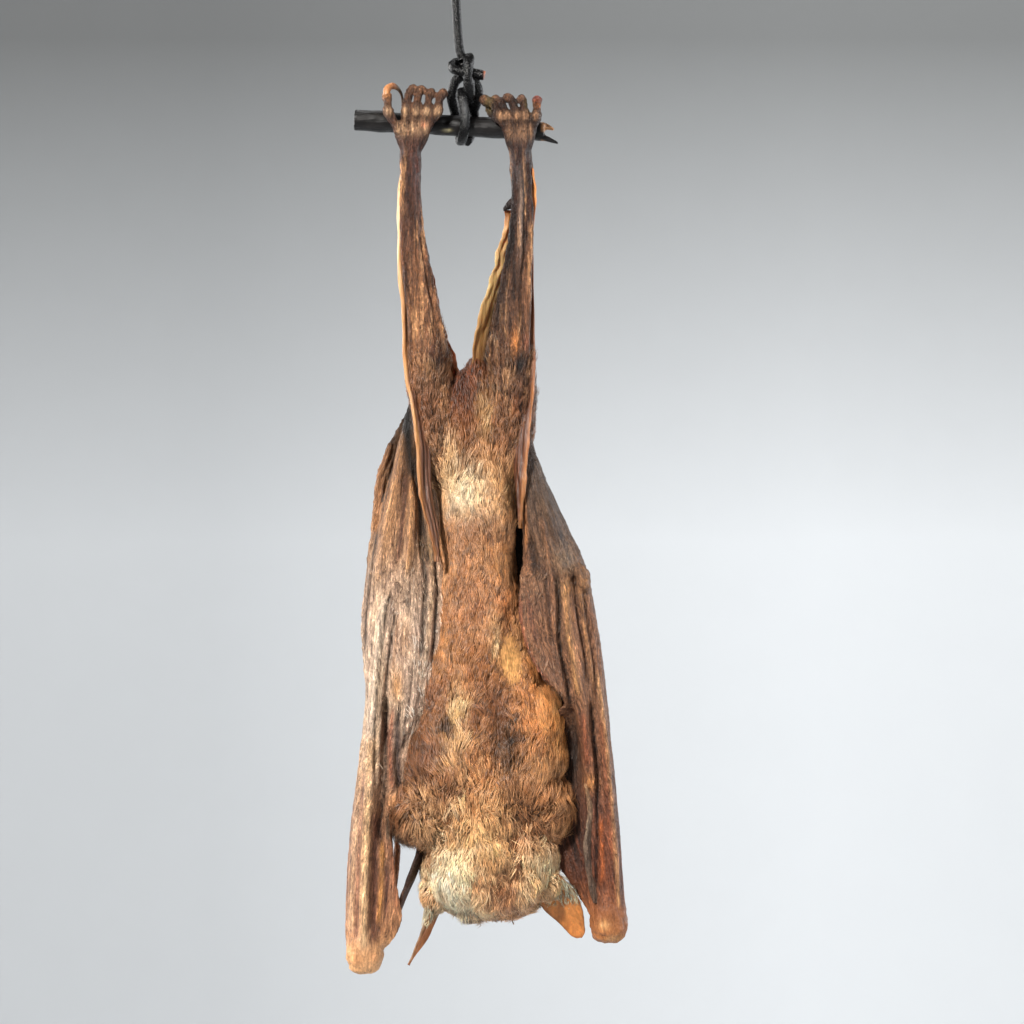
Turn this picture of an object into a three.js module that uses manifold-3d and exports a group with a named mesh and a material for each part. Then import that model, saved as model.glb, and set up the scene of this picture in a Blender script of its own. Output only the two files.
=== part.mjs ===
// A dried fruit bat, life size, hanging head down by both feet from a short twig.
// The twig hangs on a leather cord from a peg on a small wall plate.
//
// Millimetres, +Z up. The origin is the middle of the plate's back face, with the wall on its +Y side.
// The bat's back faces -Y and its belly faces the wall. Left and right are as seen from -Y.

import * as THREE from 'three';
import { mergeVertices } from 'three/addons/utils/BufferGeometryUtils.js';
import Module from 'manifold-3d';

const wasm = await Module();
wasm.setup();

// ---------------------------------------------------------------- driving dimensions

const GAP = 0.3; // between two meshes that touch
const WALL_REACH = 72; // from the wall to the cord
const PEG_ABOVE_TWIG = 82;
const PEG_X = -6; // the peg's middle, from the middle of the twig

const PLATE = { width: 34, height: 44, thick: 4, corner: 5 };
const PEG = { radius: 5, grooveRadius: 4.6, grooveWidth: 5, flangeRadius: 7.5, flangeWidth: 2.5, collar: 8 };
const SCREW = { headRadius: 3.4, headRise: 1.8, fromMiddle: 14.5, slotWidth: 1, slotDepth: 0.8 };

const CORD_DIAMETER = 3.2;
const CORD_SIDES = 8;
const CORD_STEPS = 25;
const KNOT_SIDES = 5;
const SLEEVE = { bottom: 59, height: 6, wall: 0.9 };

const TWIG = { diameter: 7, left: [-38.5, 0, 1.4], right: [27.5, 0, -2.5], sides: 8 };

const TOE_DIAMETER = 2.7;
const CLAW_LENGTH = 9;
const EYE_RADIUS = 4.7;
const EAR = { thick: 1.3, halfWidth: 6.2, cup: 2.4 };
const MEMBRANE = 1.5; // the thickness of a dried, folded membrane

const COLOUR = {
  skin: 0x6e4a36,
  toe: 0xaa8769,
  claw: 0xb97c48,
  fur: 0x96703f,
  nape: 0xd8bc8c,
  wing: 0x8a6648,
  bone: 0xcd9f6e,
  edge: 0xd2b080,
  ear: 0x8a7a62,
  eye: 0x14100d,
  cord: 0x1b1b1c,
  bark: 0x3b3938,
  brass: 0xb08d4f,
  iron: 0x2c2d2f,
};

// ---------------------------------------------------------------- shaping tools

// A row of numbers between the rows of a table, eased by a Catmull-Rom spline.
function between(rows, u) {
  const place = u * (rows.length - 1);
  const start = Math.min(Math.floor(place), rows.length - 2);
  const f = place - start;
  const at = (k) => rows[Math.max(0, Math.min(rows.length - 1, k))];
  const [a, b, c, d] = [at(start - 1), at(start), at(start + 1), at(start + 2)];
  return b.map((_, k) => {
    const slopeB = (c[k] - a[k]) / 2;
    const slopeC = (d[k] - b[k]) / 2;
    const curve = 2 * b[k] - 2 * c[k] + slopeB + slopeC;
    const bend = 3 * c[k] - 3 * b[k] - 2 * slopeB - slopeC;
    return ((curve * f + bend) * f + slopeB) * f + b[k];
  });
}

function geometryOf(points, triangles) {
  const geometry = new THREE.BufferGeometry();
  const numbers = points.flatMap((p) => [p.x, p.y, p.z]);
  geometry.setAttribute('position', new THREE.Float32BufferAttribute(numbers, 3));
  geometry.setIndex(triangles.flat());
  return geometry;
}

// Six times the volume that triangles enclose, which is negative where they face inwards.
function volumeSign(points, triangles) {
  const cross = new THREE.Vector3();
  const share = ([a, b, c]) => points[a].dot(cross.crossVectors(points[b], points[c]));
  return triangles.reduce((sum, triangle) => sum + share(triangle), 0);
}

// Rings of equal length joined into one closed skin. A cap is a fan round its ring's middle,
// or a ladder between the two long sides of a flat ring.
function skinned(rings, ladder = false) {
  const sides = rings[0].length;
  const points = rings.flat();
  const triangles = [];
  for (let i = 0; i + 1 < rings.length; i += 1) {
    for (let j = 0; j < sides; j += 1) {
      const a = i * sides + j;
      const b = i * sides + ((j + 1) % sides);
      triangles.push([a, b, b + sides], [a, b + sides, a + sides]);
    }
  }
  [0, rings.length - 1].forEach((index) => {
    const first = index * sides;
    const front = index === 0;
    const add = (a, b, c) => triangles.push(front ? [c, b, a] : [a, b, c]);
    if (ladder) {
      for (let j = 0; j < sides / 2 - 1; j += 1) {
        const far = sides - 1 - j;
        add(first + j, first + j + 1, first + far - 1);
        add(first + j, first + far - 1, first + far);
      }
      return;
    }
    const middle = rings[index].reduce((sum, p) => sum.add(p), new THREE.Vector3()).divideScalar(sides);
    points.push(middle);
    for (let j = 0; j < sides; j += 1) {
      add(first + j, first + ((j + 1) % sides), points.length - 1);
    }
  });
  const inwards = volumeSign(points, triangles) < 0;
  return geometryOf(points, inwards ? triangles.map(([a, b, c]) => [c, b, a]) : triangles);
}

// A round-ended body along a path. Each row is [x, y, z, half width, half depth]. Width is measured
// along X and depth across it. ridge(angle, u) multiplies the radius, power over 2
// squares the section, and dome is how many rings round off each end.
function limb(rows, options = {}) {
  const { sides = 8, rings = 6, cap = 0.5, dome = 1, grow = 0, power = 2, level = false } = options;
  const { across = new THREE.Vector3(1, 0, 0), ridge = () => 1 } = options;
  const section = (u, scale, along) => {
    const [x, y, z, width, depth] = between(rows, u);
    const ahead = new THREE.Vector3(...between(rows, Math.min(1, u + 0.01)));
    const behind = new THREE.Vector3(...between(rows, Math.max(0, u - 0.01)));
    const tangent = level ? new THREE.Vector3(0, 0, ahead.z - behind.z) : ahead.sub(behind);
    tangent.normalize();
    const deep = new THREE.Vector3().crossVectors(tangent, across).normalize();
    const wide = new THREE.Vector3().crossVectors(deep, tangent).normalize();
    const rise = Math.min(width, depth) * 2 * cap + grow;
    const middle = new THREE.Vector3(x, y, z).addScaledVector(tangent, along * rise);
    return Array.from({ length: sides }, (_, j) => {
      const angle = (j / sides) * Math.PI * 2;
      const [c, s] = [Math.cos(angle), Math.sin(angle)];
      const square = (Math.abs(c) ** power + Math.abs(s) ** power) ** (-1 / power);
      const reach = scale * square * ridge(angle, u);
      return middle
        .clone()
        .addScaledVector(wide, c * (reach * width + scale * grow))
        .addScaledVector(deep, s * (reach * depth + scale * grow));
    });
  };
  const turns = dome === 2 ? [0.42, 0.27] : [0.36];
  const list = turns.map((turn) => section(0, Math.cos(Math.PI * turn), -Math.sin(Math.PI * turn)));
  for (let i = 0; i <= rings; i += 1) {
    list.push(section(i / rings, 1, 0));
  }
  turns.reverse();
  list.push(...turns.map((turn) => section(1, Math.cos(Math.PI * turn), Math.sin(Math.PI * turn))));
  return skinned(list);
}

// A folded membrane. Each row is [z, x and y of the outer edge, x and y of the inner edge],
// and pleats(v, u) lifts it off the straight line between its two edges.
function sheet(rows, options = {}) {
  const { across = 4, rings = 8, thick = MEMBRANE, grow = 0, pleats = () => 0 } = options;
  const list = Array.from({ length: rings + 1 }, (_, i) => {
    const u = i / rings;
    const [z, outerX, outerY, innerX, innerY] = between(rows, u);
    const run = new THREE.Vector2(innerX - outerX, innerY - outerY);
    const unit = run.clone().normalize();
    const off = new THREE.Vector2(-unit.y, unit.x);
    const down = Math.sign(rows.at(-1)[0] - rows[0][0]);
    const stretch = i === 0 || i === rings ? grow * Math.sign(u - 0.5) * down : 0;
    const side = (half) =>
      Array.from({ length: across + 1 }, (_, j) => {
        const v = j / across;
        const taper = 0.45 + 0.55 * Math.sin(Math.PI * v) ** 0.5;
        const lift = pleats(v, u) + half * (taper * thick * 0.5 + grow);
        const past = (v < 0.5 ? -1 : 1) * (j === 0 || j === across ? grow : 0);
        return new THREE.Vector3(
          outerX + run.x * v + unit.x * past + off.x * lift,
          outerY + run.y * v + unit.y * past + off.y * lift,
          z + stretch,
        );
      });
    return [...side(1), ...side(-1).reverse()];
  });
  return skinned(list, true);
}

// Round rod of one diameter through a list of points.
function rod(points, diameter, { sides = CORD_SIDES, steps = 20, grow = 0 } = {}) {
  const curve = new THREE.CatmullRomCurve3(points.map((p) => new THREE.Vector3(...p)));
  const radius = diameter / 2 + grow;
  const section = new THREE.Shape(
    Array.from({ length: sides }, (_, j) => {
      const angle = (j / sides) * Math.PI * 2;
      return new THREE.Vector2(Math.cos(angle) * radius, Math.sin(angle) * radius);
    }),
  );
  return new THREE.ExtrudeGeometry(section, { steps, extrudePath: curve, bevelEnabled: false });
}

function box(width, depth, height, x, y, z) {
  return new THREE.BoxGeometry(width, depth, height).translate(x, y, z);
}

// ---------------------------------------------------------------- joining and cutting

function solidOf(geometry) {
  const bare = geometry.clone();
  bare.deleteAttribute('normal');
  bare.deleteAttribute('uv');
  const merged = mergeVertices(bare, 1e-4);
  const mesh = new wasm.Mesh({
    numProp: 3,
    vertProperties: new Float32Array(merged.attributes.position.array),
    triVerts: new Uint32Array(merged.index.array),
  });
  return new wasm.Manifold(mesh);
}

function joined(...geometries) {
  return geometries.map(solidOf).reduce((whole, next) => whole.add(next));
}

// The solid's largest body, without the crumbs that a cut may leave.
function largest(solid) {
  return solid.decompose().reduce((best, next) => (next.volume() > best.volume() ? next : best));
}

function bufferOf(solid) {
  const { vertProperties, triVerts, numProp } = solid.getMesh();
  const geometry = new THREE.BufferGeometry();
  const position = new Float32Array((vertProperties.length / numProp) * 3);
  for (let i = 0; i < position.length / 3; i += 1) {
    position.set(vertProperties.subarray(i * numProp, i * numProp + 3), i * 3);
  }
  geometry.setAttribute('position', new THREE.BufferAttribute(position, 3));
  geometry.setIndex(new THREE.BufferAttribute(new Uint32Array(triVerts), 1));
  return geometry;
}

const bat = new THREE.Group();
bat.position.set(-PEG_X, -WALL_REACH, -PEG_ABOVE_TWIG);

const shapes = new Map(); // name to the function that gives the uncut shape, grown by a distance

function place(group, name, geometry, colour, roughness = 0.8, metalness = 0) {
  geometry.computeVertexNormals();
  const material = new THREE.MeshStandardMaterial({ color: colour, roughness, metalness });
  const mesh = new THREE.Mesh(geometry, material);
  mesh.name = name;
  group.add(mesh);
}

// Adds a sub-part of the bat. It gives way, by the gap, to each sub-part named in behind.
function grownPart(name, shape, colour, behind = [], roughness = 0.8) {
  shapes.set(name, shape);
  const around = behind.map((other) => solidOf(shapes.get(other)(GAP)));
  const cut = around.reduce((solid, other) => solid.subtract(other), solidOf(shape(0)));
  place(bat, name, bufferOf(largest(cut)), colour, roughness);
}

const SIDES = ['left', 'right'];

// ---------------------------------------------------------------- twig, cord and wall fitting

const UPRIGHT = new THREE.Vector3(0, 1, 0);

function twig(grow) {
  const [from, to] = [TWIG.left, TWIG.right];
  const radius = TWIG.diameter / 2;
  const rows = [0, 0.2, 0.4, 0.6, 0.8, 1].map((t, k) => {
    const thick = radius * [1.06, 0.98, 1.0, 1.03, 0.97, 0.9][k];
    return [...from.map((v, axis) => v + (to[axis] - v) * t), thick, thick];
  });
  return limb(rows, { sides: TWIG.sides, rings: 5, cap: 0.06, grow, across: UPRIGHT });
}

// The two slivers where the twig was broken off.
const SPLINTERS = [
  [[22, 0.4, -0.6, 2.2, 1.6], [28, 0.6, -0.9, 1.8, 1.1], [31.2, 0.6, -1.9, 0.7, 0.4]],
  [[20, -0.4, -4, 2.4, 1.2], [28, -0.8, -5, 1.7, 0.9], [32.6, -1, -6.9, 0.6, 0.4]],
];

const SLIVER = { sides: 5, rings: 2, cap: 0.1, across: UPRIGHT };

function brokenTwig(grow) {
  const slivers = SPLINTERS.map((rows) => limb(rows, { ...SLIVER, grow }));
  return bufferOf(joined(twig(grow), ...slivers));
}

shapes.set('twig', brokenTwig);
place(bat, 'perch_twig', brokenTwig(0), COLOUR.bark, 0.6);

// The cord's own line, from the knot up to the peg, over it and back into the sleeve.
const CORD_ROUTE = [
  [-0.9, 0, 22.5],
  [-2.1, 0, 28],
  [-3.2, 0, 43.4],
  [-4, 0, 52],
  [-5.9, 0, 59],
  [-6.2, 0, 65],
  [-9.4, 0, 71.5],
  [-12.4, 0, 77.5],
  [-12.4, 0, 84],
  [-9.8, 0, 88],
  [-6, 0, 89.1],
  [-2.2, 0, 88],
  [0.4, 0, 84],
  [0.4, 0, 77.5],
  [-1.4, 0, 71.5],
  [-2.7, 0, 65],
  [-2.6, 0, 59],
  [-1.4, 0, 54.4],
];

place(bat, 'cord', rod(CORD_ROUTE, CORD_DIAMETER, { steps: CORD_STEPS }), COLOUR.cord, 0.35);

// A flat metal sleeve that grips the two strands where the loop closes.
function sleeve() {
  const bore = { x: CORD_DIAMETER * 2 + 1.4, y: CORD_DIAMETER + 0.7 };
  const [x, z] = [-4.4, SLEEVE.bottom + SLEEVE.height / 2];
  const shell = box(bore.x + SLEEVE.wall * 2, bore.y + SLEEVE.wall * 2, SLEEVE.height, x, 0, z);
  return bufferOf(solidOf(shell).subtract(solidOf(box(bore.x, bore.y, SLEEVE.height * 2, x, 0, z))));
}

place(bat, 'cord_sleeve', sleeve(), COLOUR.brass, 0.35, 0.9);

// The knot, each strand with its thickness as a share of the cord's: a ring with a loop in front
// that holds the twig, the ring's right side, two lobes above it and the cut tail.
const KNOT = [
  {
    share: 0.9,
    steps: 15,
    route: [
      [-0.6, 0.4, 17.2],
      [-3.6, 1.6, 14.6],
      [-4.6, 2.6, 9.5],
      [-3.4, 4.6, 4.2],
      [-2.3, 5.6, -0.4],
      [-1.8, 4.4, -4.2],
      [-1.3, 0, -6.1],
      [-0.6, -4.4, -4.2],
      [0.2, -5.9, 0],
      [-0.2, -5.6, 4.8],
      [-1, -4, 9],
      [-0.8, -1, 11.2],
      [1.2, 2, 9.4],
      [3.4, 4.6, 4.2],
      [2.9, 5.8, 0],
      [1.9, 4.4, -4.2],
      [0.9, 0, -6.1],
    ],
  },
  { share: 0.85, steps: 4, route: [[1.6, 0.6, 17], [4.3, 0.9, 13.6], [5, 2, 9.6], [3.4, 4.4, 5]] },
  {
    share: 0.9,
    steps: 5,
    route: [[1.4, 1.2, 19.6], [-2, 2.6, 21.6], [-4.6, 0.6, 21], [-4, -2, 19.4], [-0.4, -2.6, 18.8]],
  },
  {
    share: 0.95,
    steps: 5,
    route: [[1.6, 2.2, 22.6], [1.5, -0.6, 24], [1.3, -2.6, 21.6], [1.2, -2.8, 17], [0.8, -1.4, 13.4]],
  },
  { share: 0.9, steps: 2, route: [[0.4, 0.4, 18.4], [3.6, -0.4, 17.9], [6.9, -0.8, 17]] },
];

const knotSolid = joined(
  ...KNOT.map(({ share, steps, route }) => rod(route, CORD_DIAMETER * share, { steps, sides: KNOT_SIDES })),
)
  .subtract(solidOf(brokenTwig(GAP)))
  .subtract(solidOf(rod(CORD_ROUTE, CORD_DIAMETER, { steps: CORD_STEPS, grow: GAP })));
place(bat, 'cord_knot', bufferOf(largest(knotSolid)), COLOUR.cord, 0.35);

// A plate with round corners, its back on the wall.
function plate() {
  const { width, height, thick, corner } = PLATE;
  const [x, z] = [width / 2 - corner, height / 2 - corner];
  const outline = new THREE.Shape();
  outline.absarc(x, z, corner, 0, Math.PI / 2);
  outline.absarc(-x, z, corner, Math.PI / 2, Math.PI);
  outline.absarc(-x, -z, corner, Math.PI, Math.PI * 1.5);
  outline.absarc(x, -z, corner, Math.PI * 1.5, Math.PI * 2);
  const slab = new THREE.ExtrudeGeometry(outline, { depth: thick, bevelEnabled: false, curveSegments: 3 });
  return slab.rotateX(Math.PI / 2);
}

// The peg stands out from the plate. It has a groove for the cord and a flange at its tip.
function peg() {
  const { radius, grooveRadius, grooveWidth, flangeRadius, flangeWidth, collar } = PEG;
  const root = PLATE.thick + GAP;
  const cordAt = WALL_REACH;
  const tip = cordAt + grooveWidth / 2 + flangeWidth;
  const outline = [
    [0, root],
    [collar, root],
    [collar, root + 2],
    [radius, root + 3],
    [radius, cordAt - grooveWidth / 2 - 0.6],
    [grooveRadius, cordAt - grooveWidth / 2],
    [grooveRadius, cordAt + grooveWidth / 2],
    [flangeRadius, cordAt + grooveWidth / 2 + 1],
    [flangeRadius, tip],
    [0, tip + 1],
  ];
  const turned = new THREE.LatheGeometry(outline.map(([r, y]) => new THREE.Vector2(r, y)), 12);
  return turned.rotateX(Math.PI);
}

function screw(z) {
  const { headRadius, headRise, slotWidth, slotDepth } = SCREW;
  const front = PLATE.thick + GAP;
  const outline = [
    [0, 0],
    [headRadius, 0],
    [headRadius * 0.86, headRise * 0.62],
    [headRadius * 0.45, headRise],
    [0, headRise],
  ];
  const head = new THREE.LatheGeometry(outline.map(([r, y]) => new THREE.Vector2(r, y)), 8);
  const slot = box(slotWidth, slotDepth * 2, headRadius * 3, 0, headRise, 0);
  const cut = bufferOf(solidOf(head).subtract(solidOf(slot)));
  return cut.rotateX(Math.PI).translate(0, -front, z);
}

const fitting = new THREE.Group();
place(fitting, 'wall_plate', plate(), COLOUR.iron, 0.5, 0.6);
place(fitting, 'wall_peg', peg(), COLOUR.iron, 0.45, 0.6);
place(fitting, 'wall_screw_upper', screw(SCREW.fromMiddle), COLOUR.brass, 0.35, 0.9);
place(fitting, 'wall_screw_lower', screw(-SCREW.fromMiddle), COLOUR.brass, 0.35, 0.9);

// ---------------------------------------------------------------- feet and legs

// For each foot: the ankle, and each toe's x at its root, at its knuckle and at its top, and its top's z.
const FEET = {
  left: {
    ankle: [-18.9, -6.2, -11],
    palm: [-18.4, -7.2, -3.5],
    toes: [
      [-23.6, -26.9, -26.2, 12.4],
      [-21.2, -19.9, -18.1, 12.9],
      [-18.4, -16.2, -15, 12.4],
      [-15.7, -12.9, -11.9, 11],
      [-13.4, -9.6, -7.9, 11],
    ],
  },
  right: {
    ankle: [19.2, -6.2, -12],
    palm: [19, -7.2, -5],
    toes: [
      [15, 10.6, 6.8, 9],
      [16.9, 13.8, 10.6, 9.2],
      [18.9, 17.4, 15, 9.8],
      [20.9, 20.7, 19.6, 9.2],
      [23, 25.2, 25.2, 8.6],
    ],
  },
};

function foot(side) {
  const { ankle, palm, toes } = FEET[side];
  return (grow) => {
    const sole = [
      [...ankle, 4.2, 3.2],
      [ankle[0], -6.9, ankle[2] + 4, 4.6, 2.5],
      [...palm, 5.3, 2],
      [palm[0], -7, palm[2] + 3.4, 4, 1.5],
    ];
    const body = limb(sole, { sides: 7, rings: 2, cap: 0.3, grow });
    const half = TOE_DIAMETER / 2;
    const toeSolids = toes.map(([root, knuckle, top, topZ]) =>
      limb(
        [
          [root, -7, palm[2] + 1, half, half],
          [(root + knuckle) / 2, -7.6, palm[2] + 5.5, half * 0.95, half],
          [knuckle, -6.8, topZ - 5.4, half * 1.08, half * 1.1],
          [top, -4.6, topZ - 1.4, half * 0.92, half * 0.95],
          [top, -1.4, topZ - 0.2, half * 0.7, half * 0.8],
        ],
        { sides: 5, rings: 3, grow },
      ),
    );
    return bufferOf(joined(body, ...toeSolids));
  };
}

// A claw hooks from the toe's tip over the twig and down behind it.
function claw(top, topZ) {
  const drop = topZ - CLAW_LENGTH;
  return (grow) =>
    limb(
      [
        [top, 0.5, topZ - 0.1, 0.75, 1.15],
        [top + 0.1, 4, topZ - 1.6, 0.65, 0.95],
        [top + 0.3, 5.5, topZ - 5.4, 0.5, 0.6],
        [top + 0.3, 4.6, drop, 0.22, 0.24],
      ],
      { sides: 5, rings: 2, grow },
    );
}

const SHINS = {
  left: [
    [-18.9, -6.2, -12, 4.5, 3.5],
    [-18.7, -6.4, -26, 4.7, 3.9],
    [-18.5, -6.4, -40, 5, 4.4],
    [-17, -6.2, -52, 5.5, 4.9],
    [-14.4, -6, -69, 6.4, 5.8],
    [-13.6, -6, -82, 7.3, 6.8],
  ],
  right: [
    [19.4, -6.2, -13.5, 4.1, 3.5],
    [19.7, -6.4, -27, 5, 3.9],
    [19.8, -6.4, -42, 4.6, 4.4],
    [18.2, -6.2, -55, 5.9, 4.9],
    [16.6, -6, -70, 7.4, 5.8],
    [16.3, -6, -83, 8.4, 6.8],
  ],
};

const THIGHS = {
  left: [
    [-12.8, -5, -84, 7.4, 7.5],
    [-11.4, -4, -97, 7.7, 9.4],
    [-8.8, -2.6, -111, 8.8, 10.5],
    [-4.6, -1, -126, 6, 8.5],
  ],
  right: [
    [16.6, -5, -85, 8.1, 7.5],
    [16.4, -4, -97, 8.5, 9.4],
    [14.7, -2.6, -111, 8.7, 10.5],
    [11.4, -1, -126, 6, 8.5],
  ],
};

SIDES.forEach((side) => {
  grownPart(`foot_${side}`, foot(side), COLOUR.toe, ['twig']);
  FEET[side].toes.forEach(([, , top, topZ], index) => {
    const order = side === 'left' ? 5 - index : index + 1;
    grownPart(`toe_claw_${side}_${order}`, claw(top, topZ), COLOUR.claw, ['twig', `foot_${side}`], 0.4);
  });
  const shin = (grow) => limb(SHINS[side], { rings: 5, cap: 0.3, grow });
  grownPart(`shin_${side}`, shin, COLOUR.skin, [`foot_${side}`], 0.6);
  const thigh = (grow) => limb(THIGHS[side], { rings: 3, grow });
  grownPart(`thigh_${side}`, thigh, COLOUR.skin, [`shin_${side}`]);
});

// ---------------------------------------------------------------- trunk, neck and head

const TRUNK = [
  [2.2, 0, -90, 11, 9],
  [3.2, -0.5, -99, 17, 12.5],
  [3.2, -1, -111, 17.8, 13.5],
  [3.8, -1, -122, 15.4, 13.8],
  [4.4, -1, -132, 13.4, 14.4],
  [4.5, 0, -152, 13.7, 16.4],
  [6, 1, -173, 15.6, 19.2],
  [7.6, 2, -190, 18.6, 22],
  [8.2, 2, -205, 23.6, 24],
  [7.2, 2, -222, 28.5, 25.4],
  [8.6, 2, -236, 33, 25.2],
  [8, 2, -244.5, 33, 21.5],
];

const NECK = [
  [8.4, 2, -240, 25, 18],
  [8.6, 2, -250, 26.6, 18.6],
  [8.8, 3, -257, 26, 18.6],
  [9, 3, -262, 24, 16.5],
];

// From the back of the skull to the nose. Width is along X and depth is from throat to crown.
const HEAD = [
  [10, -9, -263.5, 22, 14],
  [10, -2, -263.6, 25.2, 17],
  [9.6, 8, -264.4, 23.6, 16.8],
  [9.2, 17, -265.4, 19.2, 15],
  [9, 25, -266.4, 14.6, 12.8],
  [9, 32, -267.6, 10.4, 10.4],
  [9, 39, -269, 8.4, 8.8],
  [9, 46, -270.2, 7.4, 7.8],
  [9, 50.5, -271, 5.4, 5.6],
];

const EYES = { left: [-4.2, 25.4, -270.2], right: [22.2, 25.4, -270.2] };

const EARS = {
  left: {
    across: new THREE.Vector3(0.3, 1, 0),
    rows: [
      [-10.6, 1.5, -270, 0.62, 1],
      [-12.6, 2.2, -277, 0.95, 1],
      [-14.8, 3.2, -284, 0.85, 1],
      [-17.2, 4.2, -290, 0.52, 1],
      [-19.4, 5, -294.4, 0.14, 1],
    ],
  },
  right: {
    across: new THREE.Vector3(1, -0.25, 0),
    rows: [
      [33.2, 0.5, -265.5, 0.62, 1],
      [35, 3.4, -270.4, 0.98, 1],
      [36.8, 6.4, -275.6, 0.9, 1],
      [38.4, 9, -280.4, 0.55, 1],
      [39.8, 11, -284.4, 0.16, 1],
    ],
  },
};

// A leaf-shaped ear, cupped towards the face.
function ear(side) {
  const { rows, across } = EARS[side];
  const half = EAR.thick / 2;
  return (grow) => {
    const points = 5;
    const rings = Array.from({ length: 6 }, (_, i) => {
      const u = i / 5;
      const [x, y, z, width] = between(rows, u);
      const tangent = new THREE.Vector3(...between(rows, Math.min(1, u + 0.02)))
        .sub(new THREE.Vector3(...between(rows, Math.max(0, u - 0.02))))
        .normalize();
      const front = new THREE.Vector3().crossVectors(tangent, across).normalize();
      const wide = new THREE.Vector3().crossVectors(front, tangent).normalize();
      const inwards = Math.sign(9 - x) || 1;
      const facing = front.clone().multiplyScalar(front.x * inwards >= 0 ? 1 : -1);
      const line = (thickness) =>
        Array.from({ length: points }, (_, j) => {
          const v = (j / (points - 1)) * 2 - 1;
          const cup = EAR.cup * width * (v * v - 0.6);
          return new THREE.Vector3(x, y, z)
            .addScaledVector(wide, v * (EAR.halfWidth * width + grow))
            .addScaledVector(facing, cup + thickness);
        });
      return [...line(half + grow), ...line(-half - grow).reverse()];
    });
    return skinned(rings, true);
  };
}

const trunk = (grow) =>
  limb(TRUNK, { sides: 14, rings: 12, cap: 0.28, dome: 2, grow, level: true, power: 2.2 });
grownPart('trunk', trunk, COLOUR.fur, ['thigh_left', 'thigh_right', 'shin_left', 'shin_right'], 0.95);

const neck = (grow) => limb(NECK, { sides: 14, rings: 2, cap: 0.1, grow, level: true, power: 2.2 });
grownPart('neck', neck, COLOUR.nape, ['trunk'], 0.95);

SIDES.forEach((side) => {
  const eye = (grow) => new THREE.SphereGeometry(EYE_RADIUS + grow, 8, 6).translate(...EYES[side]);
  grownPart(`eye_${side}`, eye, COLOUR.eye, [], 0.1);
});

const head = (grow) => limb(HEAD, { sides: 12, rings: 8, cap: 0.25, grow, power: 2.15 });
grownPart('head', head, COLOUR.nape, ['trunk', 'neck', 'eye_left', 'eye_right'], 0.95);

SIDES.forEach((side) => grownPart(`ear_${side}`, ear(side), COLOUR.ear, ['head', 'neck', 'trunk'], 0.9));

// ---------------------------------------------------------------- arms and hands

const UPPER_ARMS = {
  left: [
    [-21.6, -9.5, -162, 4.4, 4.6],
    [-20.4, -11, -172, 4.2, 4.8],
    [-19, -11.5, -188, 5.2, 5.4],
    [-19.4, -11, -203, 5.4, 5.4],
    [-23.6, -9.4, -219, 3.4, 4.6],
    [-24.6, -8, -232, 3.2, 4.2],
  ],
  right: [
    [36.4, -9, -157, 4.3, 4.6],
    [36.6, -10.5, -168, 3.6, 4.8],
    [38.8, -11, -184, 3.8, 5],
    [41, -10, -200, 3.8, 5],
    [42.6, -8.6, -215, 3.4, 4.6],
    [43.2, -7.6, -227, 3.6, 4.2],
  ],
};

const FOREARMS = {
  left: [
    [-25, -7, -164, 4, 5],
    [-28.6, -7.4, -184, 4, 5.2],
    [-30.2, -7.6, -205, 3.6, 5],
    [-32.4, -7.8, -230, 3.6, 4.8],
    [-33.6, -7.4, -255, 3.7, 4.6],
    [-35, -6.2, -282, 4.4, 4.6],
  ],
  right: [
    [40, -6.5, -160, 3.8, 5],
    [43.4, -7.2, -178, 3.8, 5.2],
    [46.8, -7.4, -200, 3.6, 5],
    [49.2, -7.4, -225, 3.5, 4.8],
    [51, -6.8, -248, 3.6, 4.6],
    [52.3, -5.6, -272, 4.3, 4.6],
  ],
};

const WRISTS = {
  left: [[-35.1, -3, -287.4, 6.4, 8], [-35.1, -2.4, -293, 6, 7.4]],
  right: [[50.4, -2.6, -277, 6.5, 8], [50.5, -2, -282.4, 6.2, 7.4]],
};

// The closed hand: long palm bones and fingers with the pleated membrane between them.
const HANDS = {
  left: [
    [-25, 1, -114, 1.2, 3.5],
    [-29, 3.5, -123, 1.9, 7],
    [-31, 5, -136, 2.5, 9.5],
    [-32.2, 6.5, -154, 2.8, 11.5],
    [-33, 7.5, -171, 3.2, 12.5],
    [-32.2, 8, -190, 3.4, 12],
    [-31.4, 8, -207, 3.6, 11.4],
    [-32.4, 7, -225, 4.4, 11],
    [-34, 6, -243, 5.4, 10.4],
    [-34.6, 5, -262, 6.6, 9.6],
    [-34.8, 4, -279, 6.6, 8.6],
  ],
  right: [
    [22, 0, -113, 1.2, 3.5],
    [26.2, 2.5, -125, 2.2, 7],
    [32, 4.5, -138, 2.8, 9.5],
    [38.4, 6, -153, 3, 11.5],
    [41.4, 7.5, -171, 3.4, 12.5],
    [44, 8, -190, 3.8, 12],
    [46.4, 8, -208, 4, 11.4],
    [47.6, 7, -225, 4.2, 11],
    [48.6, 6, -243, 4.8, 10.4],
    [49.2, 5, -258, 5.6, 9.6],
    [50, 4, -270, 6.2, 8.6],
  ],
};

const THUMBS = {
  left: [
    [-31, 5, -284, 2.6, 2.6],
    [-27.6, 12, -277, 1.9, 1.9],
    [-25.4, 15.5, -267, 1.8, 1.8],
    [-24.2, 16.8, -256, 1.5, 1.5],
  ],
  right: [
    [46.6, 5, -274, 2.6, 2.6],
    [43.2, 12, -267, 1.9, 1.9],
    [41.2, 15.5, -257, 1.8, 1.8],
    [40, 16.8, -246, 1.5, 1.5],
  ],
};

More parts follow.
